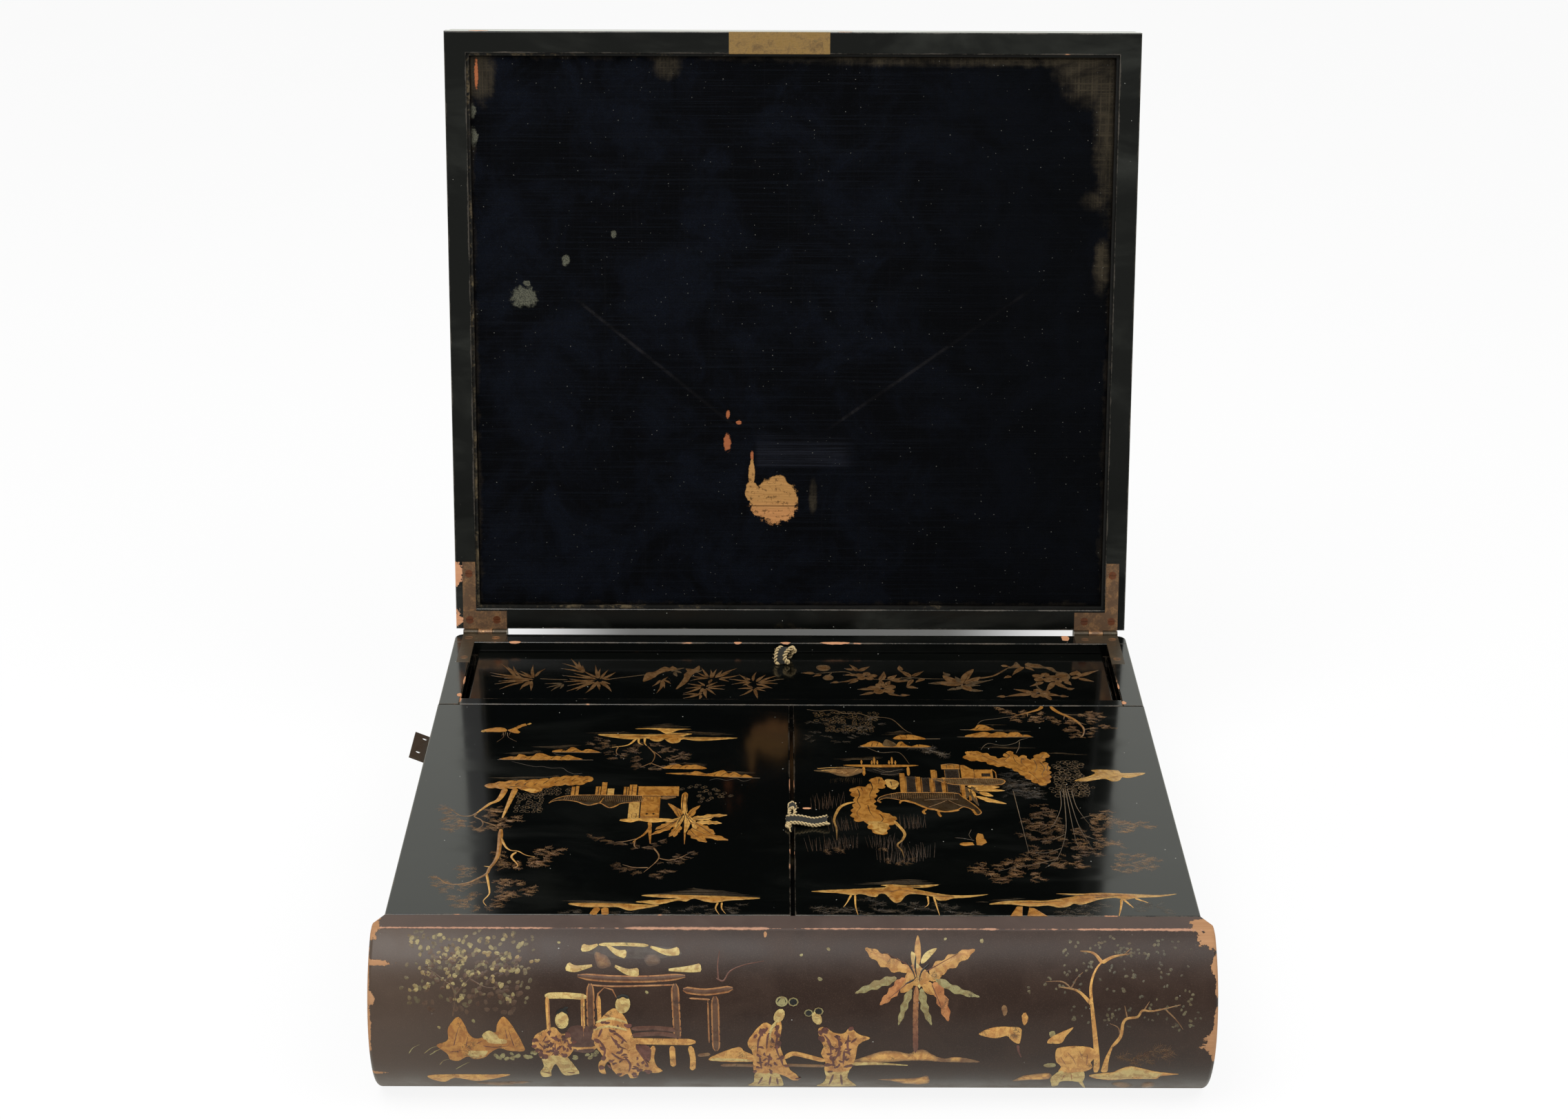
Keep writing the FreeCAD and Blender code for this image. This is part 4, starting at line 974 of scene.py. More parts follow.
    def grow(self, made):
        """Adds what the motif tree makes of the sown points."""
        for motif, seeds in self.sown.items():
            mesh = sown_mesh(motif, seeds, made)
            first = len(self.points)
            self.points += [tuple(vertex.co) for vertex in mesh.vertices]
            self.faces += [tuple(first + i for i in face.vertices) for face in mesh.polygons]
            self.paint += [list(value.color)[:3] for value in mesh.attributes["paint"].data]
            bpy.data.meshes.remove(mesh)

    def lay(self, name, surface, made, body, slot, mirrored=False):
        self.grow(made)
        faces = self.faces if not mirrored else [face[::-1] for face in self.faces]
        obj = mesh_object(name, [surface(*point) for point in self.points], faces, made, body)
        set_paint(obj, self.paint)


def set_paint(obj, tones):
    paint = obj.data.attributes.new("paint", "FLOAT_COLOR", "POINT")
    for value, tone in zip(paint.data, tones):
        value.color = (*tone, 1.0)


def inside(x, y, outline):
    hit = False
    for (a, b), (c, d) in zip(outline, outline[1:] + outline[:1]):
        if (b > y) != (d > y) and x < (c - a) * (y - b) / (d - b) + a:
            hit = not hit
    return hit


def thicket(left, right, low, high, shift, scale, level, least):
    """Spots 3 mm by 2 mm apart in a box, where a slow noise is high enough."""
    return [(x + shift * (j % 2), y) for j, y in enumerate(range(low, high, 2)) for x in range(left, right, 3)
            if ripple(x, y, scale, level) > least]


def motif_source(name):
    """The small shape that is sown, about 1 mm long, as an object of its own."""
    small = Painting(3)
    draw = small.random.uniform
    if name == "twig":
        small.stroke([(0, 0), (1, 0.03)], 0.07, "gold", shape="taper", rise=0.05, step=9)
        for k in range(7):
            x, side = 0.14 * k, (-1) ** k
            small.stroke([(x, 0), (x + draw(0.16, 0.32), side * draw(0.2, 0.5))], 0.048, "gold", shape="taper",
                         rise=0.05, step=9)
    elif name == "grass":
        for k in range(5):
            x = (k - 2) * 0.13
            small.stroke([(0, x), (1 - 0.14 * (k % 3), x * 1.15)], 0.03, "gold", shape="taper", rise=0.05, step=0.6)
    elif name == "ring":
        turns = [(math.cos(k * math.tau / 10), math.sin(k * math.tau / 10)) for k in range(11)]
        small.stroke(turns, 0.26, "gold", rise=0.05, step=2)
    else:
        small.stroke([(-0.5, -0.1), (0, 0.12), (0.5, -0.05)], 0.75, "gold", shape="round", rise=0.08, step=0.3)
    return mesh_object(name + " source", small.points, small.faces)


def make_sowing():
    """Sets a motif on every point, by the point's own turn and size."""
    net, given, out = tree_of("sown motif", "GeometryNodeTree", [
        ("Geometry", "Geometry"), ("Motif", "Object"), ("Height", "Float"), ("Paint", "Material")], [
        ("Geometry", "Geometry")])
    turn, size = (net.add("GeometryNodeInputNamedAttribute", {"Name": name}, data_type="FLOAT")
                  for name in ("turn", "size"))
    motif = net.add("GeometryNodeObjectInfo", {"Object": given["Motif"]})
    scale = net.add("ShaderNodeCombineXYZ", {0: size.outputs[0], 1: size.outputs[0], 2: given["Height"]})
    sown = net.add("GeometryNodeInstanceOnPoints", {
        "Points": given["Geometry"], "Instance": motif.outputs["Geometry"],
        "Rotation": net.add("ShaderNodeCombineXYZ", {2: turn.outputs[0]}).outputs[0], "Scale": scale.outputs[0]})
    real = net.add("GeometryNodeRealizeInstances", {"Geometry": sown})
    net.feed(out["Geometry"], net.add("GeometryNodeSetMaterial", {"Geometry": real, "Material": given["Paint"]}))
    return net.tree


def run_tree(obj, tree, values):
    """The mesh that a geometry tree makes of an object, with the tree's inputs set."""
    modifier = obj.modifiers.new(tree.name, "NODES")
    modifier.node_group = tree
    for item in tree.interface.items_tree:
        if item.in_out == "INPUT" and item.name in values:
            modifier[item.identifier] = values[item.name]
    bpy.context.view_layer.update()
    graph = bpy.context.evaluated_depsgraph_get()
    made = bpy.data.meshes.new_from_object(obj.evaluated_get(graph), preserve_all_data_layers=True, depsgraph=graph)
    bpy.data.objects.remove(obj)
    return made


SOWING = make_sowing()
MOTIFS = {}


def sown_mesh(motif, seeds, paint_finish):
    source = MOTIFS.get(motif) or MOTIFS.setdefault(motif, motif_source(motif))
    points = mesh_object(motif + " points", [(seed[0], seed[1], seed[5]) for seed in seeds], [])
    for name, column in (("turn", 2), ("size", 3)):
        values = [seed[column] for seed in seeds]
        points.data.attributes.new(name, "FLOAT", "POINT").data.foreach_set("value", values)
    set_paint(points, [seed[4] for seed in seeds])
    return run_tree(points, SOWING, {"Motif": source, "Height": 1.0, "Paint": paint_finish})


def painted_finish(name, ground, gloss, second, share, thin):
    """Gold powder and colour in lacquer: grained, shaded with a second colour, rubbed thin."""
    net = Finish(name)
    place = net.place()
    tone = net.add("ShaderNodeAttribute", attribute_name="paint").outputs["Color"]
    grain = net.cloud(place, 2600, 2, 0.6)
    patch = net.cloud(place, 170, 4, 0.62, 0.3)
    wash = net.cloud(net.stretch(place, (1, 1, 1), (0, 0, 0.6), (0.3, 0.1, 0.2)), 240, 3, 0.6, 0.8)
    both = net.times_plus(grain, 0.4, net.times(patch, 0.6))
    shaded = net.mix(1, tone, second, "MULTIPLY")
    skin = net.mix(net.times(net.span(wash, 0.42, 0.62), share), tone, shaded)
    skin = net.mix(net.span(grain, 0.3, 0.7, 0, 0.45), skin, net.mix(1, skin, rgb(205, 196, 180), "MULTIPLY"))
    gone = net.span(both, 0.66 - thin, 0.74 - thin)
    net.coat("Base Color", net.mix(net.times(gone, 0.75), skin, ground))
    net.coat("Roughness", net.span(both, 0.3, 0.7, gloss, gloss + 0.22))
    net.bump(both, 0.0002, 0.5)
    return net.made


def left_flap_painting():
    art = Painting(11)
    art.draw("""
# butterfly
fill gold: -173.5 36 2.5 2.6 7 3 3.5-.6 2.1-2 .4-2.4-4-1.2-6 .2-3.5-1.2
fill gold: -158 38 3.5 3 3 3.6 3 2 3.5 .8 0-2.2-3.5-1.8-2.5-2.4-1.2-2.4 1.7-2.6-.9-2.2-3.1 .8-2.5 2
fill pale z=.1: -172.5 36 1.5 2 1.4-1.4-1.4-1.8
fill pale z=.1: -148 45.2 2 2 1.1-.6-1.5-2
strokes .35 tan taper: -160 35 .6-6-3.1-6/-157.5 35 1-6 5-5.5/-159.5 35-1-4.5/-156 35-.5-4/-158.5 36-.2-6.5
# island with hanging trees
wash: -119 34 27 3 6-3-20-1
wash: -60 38 15-2 13-2-10-2-16 2
wash: -89 42 19 5 8-2 6-3-16-1
fill ochre z=.02: -87 40 11 1 20-1-6-1-7-5-6 5
fill gold rim=pale z=.03: -107 33 31 0 10 2 11-1-4-4 29-1-20-4-10 2-2-4-4-1-3 3-1 2-3-3-4 1-3 3-11-1
strokes .4 ink z=.17 rise=.03: -79 34 13-1 8 1/-95 31 11-1 12 1/-64 30 12-2 12 0/-72 26 6 3 6 1/-84 29 4 1
strokes 1.9 ochre taper: -85.8 28-2.2-5.4-3-3.6-7.5-2.2/-84.4 28 .4-5.6 2.5-2.8/-81 28 .2-6.6 1.3-2.4
strokes 1.1 tan taper: -79 18 4-9 0-7-2-7/-76 12 3-4 2-4/-95 18-1-6 1-5/-76-2-3-3-3-3/-76-3 5-4 3-2
twigs 3.2 far spread=2 scatter=1.8: -92 20-14 6 3-3-5-3 6-.5-2-4.5 6 4-3 5/-94 13 0-4-1-4-3 4.5 7 2.5 2.5 3
 .5-4.5-8-6.5/-79 16-5 4 6 0 4 1 4-6.5 3-1-5-1.5/-74 4 8 2 3 2 4-1-6-5 5 3-8-2/-78-2-5 6-1-4 2-4-2-4 4 1 3-2 4-1
 3 2 3 3 1 3
# little hills and their winding paths
ridge: -131 11 2 2 3 1 2-2 2 3 2 2 5-5 2 2 3 0 5-4-13 0: -126 11 1.6 2.4 1.4 1.2/-120 11 2.4 2 .6 1.6/-113 11 2
 1.6/-108 10.6 1 1.4: -144 17 27 3-5-5-10 0: -131 10.4 27-.4
ridge: -157 1 2 3 2 1 3 0 1 3 3-1 2-2 3 1 2 3 3 0 5-4 3 1 3-1 3 2 3-2 3-4: -152 2 1 3/-146 2 2 3/-143 2 2 4/-137
 2 2 2 1 2/-131 2 2 3/-126 2 1 3/-122 2 2 3: -160 9.4 24 3-2-3.8-14-1.6: -160 1 25 0 27 0
ridge: -69.4-9 2.4 3 3 1.6 3 .4 1.8-2 2.2 1.6 2.6-.6 2.4 .6 5.4-5.2: -66-9 2 3/-61-9 1.6 2.6/-58-9 1.6 3.4/-54-9
 1.4 3: -66-2.4 10 .8 14-3.4-8-1
ridge: -68-15 13 1 3 2 6-3 4 1 5 3 3-4 3 2 4-4 2 1 3-4-24 2: -60-17 6 2/-49-17 4 2/-42-18 2 4/-38-18 3 4/-33-18
 2 3/-28-19 2 2: -46-11 34-3-18-2-14 4: -34-19.4 17-.8
strokes .45 smoke: -152-1 12-6 5 0 5-2 6 0 3-4 4-3 4 1/-44-23 4 2 5-2 5 2 4-3 4 2/-130 9 3-2 4-1
# rocky island and the long trees under it
wash: -168-21 36 2 14 4-14-7-18-2
rock 6 1.2 gold z=.05: -164-31 6 4 8 2 9 1 10 2 11 3 11-1 2-2-6-6-11-1-9-4-3-5-10 5-9 0
strokes .7 ink taper z=.22 rise=.04: -158-29 2 2/-153-29 2 1 1 2/-148-30 2 3 2 1/-143-30 1 3 2 2/-138-30 2
 3/-133-28 2 3 1 2/-127-27 2 3/-123-24 2 3/-118-25 2 4/-115-20 2 2/-112-25 3 3/-151-32 7 1 6-3
fill ochre z=.12: -144-34 5 1 4.4-1.6-1.4-3.4-2.6-.6
strokes 4.4 gold taper end=ochre: -152.8-33.6-1.2-8.4-2-6-3.6-3.6-5.8-10.4/-147.4-33.6-4-33.4
strokes 1.3 tan taper: -165-61-3-4-5 0-4 4-3 5/-165-63-1-3 4-4 1-6-4-5/-162-71 5-3 3-2
stroke 3.4 gold taper end=tan: -151-80 1-25-1-10-2-7-1-6-4-5-4-4-5-2-6 1-5 6
strokes 1.7 ochre taper: -150-90 3-9 3-4 4-1 4-4 5-2/-141-105-2-5 4-9-2-3/-154-128 3-17 0-5-2-6 2-5/-152-121-4 1
twigs 3.7 near spread=3 scatter=2.5: -169-66-12 10 3-5 2-5 4-3-7-1 9-4-4-3 6-2 5-3-14 2/-163-62 3 4 3-2-3-5 5
 7/-160-74 3 3 3 1 5 1 3 1-9-9 3 2-6-3/-136-108 8 6 3-4-5 1 4-7-7-1 3-4 9 13-16-14 4 0/-142-114-4-3 5-4-5 11
 2-10-4 13/-158-132-7 10 4-3-2-4/-168-138-10 6 6-4-4-3 8-3-4-3 8 5 /-152-140 3 4 4 1 5-2-6-3-9 3/-151-149 5 2
 5-1 6 1 3 2-24-4 10-3 4 1/-153-157-14 4 4-3 3-5 7-2 5 3-16 0 6 6 11-2""")
    for box in ((-145, -130, -60, -38), (-134, -118, -40, -30)):
        art.sow(thicket(*box, 0.6, 0.2, 4, -0.25), "ring", 1.15, "dull", spread=1, scatter=0.6)
    art.draw("""
# bridge, roof and tall houses
slabs gold:
 -117.5-31-115.6-41/-115.2-30-113.4-41/-104.6-30.6-101.8-41/-101.5-25.6-98.6-41/-89.6-31-86.9-41/
 -86.6-28.4-82.6-41/-82.2-30.4-60-42
slabs pale: -98.2-33-94.6-41
slabs gold z=.02: -79.6-42-69.6-67
slabs pale z=.02: -86-49-80.2-69
strokes .45 ink z=.16 rise=.03: -103-31 0-10/-88-31 0-10/-85-29 0-12/-82-31 0-11/-60-42-22 0/-80-43
 0-23/-80-66 10 0
slabs ink z=.15 rise=.02:
 -78.4-36.6-77.4-39.4/-76.8-36.6-75.8-39.4/-75.2-36.6-74.4-39.4/-70.6-36.6-69.6-39/-68.8-36.6-67.8-39/
 -67.2-36.6-66-39
fill ink z=.17 rise=.02: -77.4-62.4 1.2 1.2 1.2-1.2-1.2-1.4
fill ink z=.17 rise=.02: -73.8-62.4 1.2 1.2 1.2-1.2-1.2-1.4
strokes .35 ink z=.17 rise=.03: -83.8-62 2 0 0-5-2 0 0 5/-78.6-43 0-3/-76.8-43 0-3/-75-43 0-3/-73.2-43
 0-3/-71.4-43 0-3
roof: -128.4-50.6 1.8 3.6 3.2 3 4.8 2.2 10.6 .8 26-.4 2.8-2 1.2-4.2-11.6-2.8-3.4-3.6-3-1.6-5 5-3-.4-3.4-1.8-6.6
 4.2-6 1.6-5-.6: -120-101-42-47.6 1.1-.8/-99-80-42-49 1.1 .8
strokes .8 gold z=.16: -99.6-44-2-6.6/-112-50.4 5-2.4 4.6 2/-99.4-52.4 3.4-3.2 3.6 2.6
fill ochre z=.04: -90-70 3 2 17 1 8-2-10-3-8 2-4-2
fill tan: -69-42 9 0-4-2.6-4.4-1.8
strokes 2.7 gold taper: -74.4-71.4 .4-6.6-3-8-3-4-2-4/-74-78 .6-10 .4-7.4
strokes 1.2 tan taper: -81-92 0-6 2-3/-80-90-6-3-5-1/-71-100 3-11-7-15/-68-111 5-2 5 2 5 5/-73-121-7 0-6 3
twigs 3.2 far spread=2 scatter=1.7: -84-90-18 2 4-2 3-2 4-2 3-2 3 0/-78-96-1-3 2-2 3 2 3 3 2 3/-76-120-12 2 2-4
 3-2 3 1/-74-124-3-4 5-1 5 3-3-5 7 7/-65-110 1-4 5-1 3 4 4 5-8-2
# palm
stroke 3.8 gold even end=ochre: -56.6-37.4-.4-10.6 .6-14
strokes .35 ink z=.14 rise=.02: -57.6-40-.2-20/-55.8-40 .4-20
leaves 3.4 gold rib=.3 z=.03: -59-66-6.4 16 7.4-14-4.4 10 8.4-10 5.6 11.4-6.2-13.4 3.6 8.4
leaves 5.2 ochre rib=.3 palm z=.02: -52-69 18 5.6-16-8.6 13.4-.6-15.4 6.6 10-1.4
leaves 6.8 gold rib=.35 palm z=.05: -53-72 13-12.6-12 6.6 19-13.4-20 11.4 9-13.8
leaves 5 gold rib=.3 palm z=.04: -60-70-13-15.6 12 13.6-10-8 12 6-4.6-13.8 5.6 11.8-3-12
leaves 3.2 ochre rib=.3 z=.06: -57-66-9-5.6 10 11.6 .4-24-1.4 20-3.6-16 5.6 16 5-18
stroke 1.5 gold taper: -55.6-80 .2-16
strokes .35 ink z=.18 rise=.03: -57-62-3-12/-56-62-1-16/-56-62 4-14/-55-66 13-18/-59-68-9-12/ -52-69 14 4
sow ring 1 dull spread=2 scatter=1.2: -58-34 3 3 3-1 2 3 3-2 2-4 3 2 3-3 3-3 3-3-7 2-4 1-4 2-2-4 3-3 3-2-4-2 6 4
 4 1
# islands in front
wash: -77-149 15 3 12 4 12-2 12-3 8-4-42 1
fill gold rim=pale z=.03: -75-150 13 1 45-3-15-3-6-2-5 1-6 3-4-3-4 1-9-4-6 1-5 2 20 3-9 1
wash: -120-156 16 1 16-1 12-2-20-1
fill gold rim=pale z=.03: -110-158 24 0 12-1 8-1-10-4-5-1-5 3-7 0-7 0-6 1
strokes 4.2 gold even: -96-162.4-2.4-7/-92.6-162.4 .6-7
strokes 1.1 ochre taper z=.04: -37-157-1-6 2-6/-35-157 0-6 2-5/-62-152 12 1 14-1/-100-160 14 0 10-1
sow twig 3.8 dim spread=2: -52-164 6 3 2-5 13 2 4 3-3-6-30 1-46 0-4-2 26 0 44 2
sow grass 5 smoke spread=2 turn=1.57: -72-163 6-2-12-2""")
    return art


def right_flap_painting():
    art = Painting(12)
    art.draw("""
# scribbled tree and its long path
stroke .8 dim: 9 66 6-2 9 1 6-4 8 0 6-4 10-2 4-4 5-11 4-5""")
    spots = [(x, y) for x, y in thicket(14, 50, 38, 64, 0.8, 0.21, 6, -0.2) if y > 50 or 19 < x < 46]
    art.sow(spots, "ring", 1.15, "dull", spread=1, scatter=0.7)
    art.draw("""
sow twig 3.8 dim heart=28,50 spread=1 scatter=2.2: 13 51 4-4 4 3 7-3 6-5 6 2 3 7 4-3-32-11 5-4-8-5 12-1 7 4 4 4
 5 3-13-14-17 7 27 10 8 13-17-18
# little hills
ridge: 56.6 28 1.4 3.4 2.4 2 2.6-.4 2 .8 3-.8 6.6-4.8-8.6-.8: 61 29-1 3/64 29-.6 3.4/68 29-1 3.4: 50 34 10 5
 6-3-8-4: 74 28.4 8.4 .2
fill dim z=.02: 50.6 19 1.8 8.6 5.6-7.2
ridge: 40 18 1 4 3 3 3 0 3-3 1-3 6 0 2 5 2 1 2-4 3-2 3 2 3 0 3-3: 44 19 1 5/47 19 1 5/60 19 1 4/64 19 0 2/ 70 19
 0 2: : 36.6 18 40.4-.6
ridge: 99 39.8 3 2.2 2.4 4.6 3.6-.6 3-3 2-3-7-.8: 103 40.4 2.6 4.2/107 40.6 2 3.8/110 40.6 1.6 1.8: 106 47 10 0
 8-1-10-1: 94 40.2 24-.4
ridge: 97 31 8 6 4 0 2-2 3 2 4 0 2-2 2 2 4 0 2-3 3 0 2-2-3-1: 104 32 3 3/109 32 2 3/114 32 3 3/119 32 2 3/ 124
 32 2 3/128 32 1 2: 108 39 16 1 14-2-14-1: 92 31 20 0 22 0
strokes .5 dim: 104 15 2 5 3 3 5-2 5 0 5 3 2 3 5 3/126 26-1-8-2-7/113 54-6-2-3-5/123 57-10-3/41 18 5-5 4-2 9 0
 5-14
wash: 100 17 12 3 26-3-20-1
wash: 136 11 14 1 14-3-16 0
sow twig 5.7 dim heart=70,20 spread=2 scatter=1: 70 17 4-2 4-3-6 0 8-3
# hanging tree at the far edge
strokes 3 gold taper end=tan: 142 71-3-5-14-8/147 71 3-7 8-9 3-6 2-7-1-8-2-3
strokes .9 tan taper: 133 62 0-5/154 60-1-6/160 51 5-4/152 62 5-2 6 0/128 59-7 6/163 41 6 2
twigs 3.6 near spread=2 scatter=1.9: 128 60-9 8 3-3 3-3 2-5 3 5/132 58-4-5 5 3 4 0 2 4-2-8-6-1/152 58-5-1 3-7 3
 0 2 3-7-1/161 56 0 4 4 2 3-2-2-3 5 4 1-4/163 46-3 4 7 0 1 4-10-11-3-4 5 1 7 2 5 2 4 1-12-8-5-5 4 0
# fence on the water and the pale bank
wash: 22 3 14 2 14 1-6-4-14-1
fill shade rise=.03: 40-7.4 21 0-2.4-6-3.6-5-14 6.8
strokes .35 dim z=.04: 44-9 6-4 6 2/46-8 6-4 8 3/48-15 6-1 4 2
fill gold z=.03 ragged=.1: 30-4 37 0-4-2-15-1-14 1
strokes 1.35 gold step=3: 38 2.4 0-6/43.6 1.4 0-5/45 5.6 0-9.2/46.6 1.4 0-5/53 1.4 0-5/54.6 5.6 0-9.2/56.4 1.4
 0-5
strokes 1.9 gold step=3: 39-6 0-11/63-6 0-11
fill tan rim=dim z=.02: 12-11 16 3 9 0 2-4-8-6-6 1-4 3
strokes .5 ochre z=.16 taper: 16-11.4 8 .4 6-3/20-12.4 7-1.2 4-3.4/14-9 8 1.4 12 .6/36-9-3-5
sow grass 7 dim spread=1 turn=-1.57: 24-20 3-1 3 0 3 1 3 2
# leaning rocks
rock 6 1.5 gold z=.04 ragged=.4: 44-20-2-8-4-3-5-1-1-6 2-7-2-17 2-7 5-1 2-8 4-6 3 1 2 8 3 4 0 6-5 4-4 4-1 10
 2 11 1 4 3 2 0 8
fill pale z=.03 ragged=.4: 50.6-21.4 5.4-1.2 1.4-4.4-2.4-6-3 1.6-2 5.4
fill pale z=.12 ragged=.4: 40-70 10-2-2-11-3.4-.6-3 4.6
strokes .7 ink taper z=.2 rise=.04: 35-33 1-7-1.4-7 1.4-7-2-7 2-6/42-24 1-8-1.6-8 .6-8/40-52 1-8 2-6/46-62
 1.6-6-2.6-6 1.4-6/37-31.6 1-4.4/47-21-.6-6/53-24 .6-6
strokes 2.5 ochre taper end=dim: 33-48-4-2-4-5-3-13 1-10 0-13/53-69 5-13-1-8-3-6 2-6 1-8
sow grass 15 78,60,46 spread=2 turn=1.57 scatter=1.6: 13-56 5 2 4 1 3-27 5 0-17-22 6 1 7 1 4 1 14 0 4-1 4-1-4-13
 5-1 5 1 4 2 5 2-7 32 3 0 3 2
sow twig 3.2 far spread=2 turn=-1.57: 22-100 4-1-8-1 32-10 4-2 4 1 4 2-16 10
# pavilions
slabs gold z=.03: 81-4 91-9/98.6-9.4 108.4-20
fill gold smooth=0 z=.02: 91.4-4 2 0 5-6 0-10-7 0
slabs gold z=.03: 75-10 77.6-20/58-14 60.8-37.6/67-18.4 69-37.6/74.4-20 76-37.6/80.6-19 82.4-37.6/ 90.4-27
 92.6-44/94-40 95.4-46
strokes .6 gold z=.16: 81-4 5 1 5-1/78-20 0 9/81-9 10 0/98-9 0-11/108-9 2-4 0-7
lattice: 82.6-9.8 90.4-20
lattice: 92.6-9 97.4-19.6
lattice: 61.2-18 66.6-37
lattice: 69.6-19.4 74-37
lattice: 76.4-22.4 80.4-37
lattice: 83-27 90-37
slabs ink z=.18 rise=.02: 102-14 107.4-18.4
strokes .35 dim z=.21 rise=.02: 103-15 3.4 0/103-16.4 3.4 0/103-17.6 3.4 0/84-3.6 0-5/88-3.6 0-5
roof dim: 75-20.4 35.4 0 2.6-6.2-9-1.8-12 .4-8 1.6: 80 111-21-27 1.2 .8
roof: 45-47.6 1.4 4.6 3.6 3 4.6 2 5.4 .8 26-.2 4-3.6 4-6.4 3.6-6.6 1.8-6-2.8-2.6-2 6-4 3.2-3.6-3.2-7-2.4-4 2.6-5
 1.8-5 4.2-12 6-5 .6: 53 87-38-44.6 1.15 0
strokes .5 tan z=.2: 70-46 10 1.4 8-.4/72-54 6 4.4 4 3.6/90-53-4 3.4-3 3.6
strokes 1.5 gold z=.14: 57-50 1 3 4 0 9-8 4-2/75-57 5-2 6 1 2 1/71-56-2-3 1-3/77-58 0-3 1-4/95-56 1-4
 1-3/46-47 1-2
leaves 4.2 ochre z=.02: 94-30 10 2.6-8-5.6 17.6-1.4-13.6-1.6 7-5-9 9 13 2-13-11 15.4-8.6-11.4 7.6 4-6-12 16
 3-12
leaves 2.6 dim z=.05: 96-29 4-9-7 8-.4-14 2.4 11 3.6-19
stroke 1.4 gold taper: 97.4-40 1-12
# craggy rocks and their ringed foliage
rock 5.5 1.4 gold z=.04 ragged=.4: 98 13-2-4-1-5 4-2 6-1 5-5 9-3 10-15 5-5 4 4 1 19-3 4 4 8-1 3-5-3-4-8-3
 7-4-1-3 6-3-2 0-5-5-1-5 5
strokes .5 ink taper z=.2 rise=.04: 97 10 5-2 4-3/104 8 4-5 4-3/117 11 2-4-3-6 3-5/121 6 1-6 3-6/ 126 5-1-6
 3-7/132 2 1-8-2-7/135 0 2-8-2-8 2-7/128-12 3-6 2-7/136 4 2 5/110 2 3-5/122-8 4-5/139-4-1-7""")
    art.sow(thicket(142, 158, -40, 1, 0.7, 0.2, 8, -0.3), "ring", 1.3, "dull", spread=1, scatter=0.7)
    art.draw("""
sow ring 1.3 dull spread=1 scatter=.7: 155 0 2-2-1-3 2-26 3 1-23-2 2-3""")
    spots = [(x, y) for y in range(-42, -5, 3) for x in range(116, 132, 3)
             if ripple(x, y, 0.2, 11) > 0 and x - 108 < -y]
    art.sow(spots, "twig", 3.2, "smoke", spread=2)
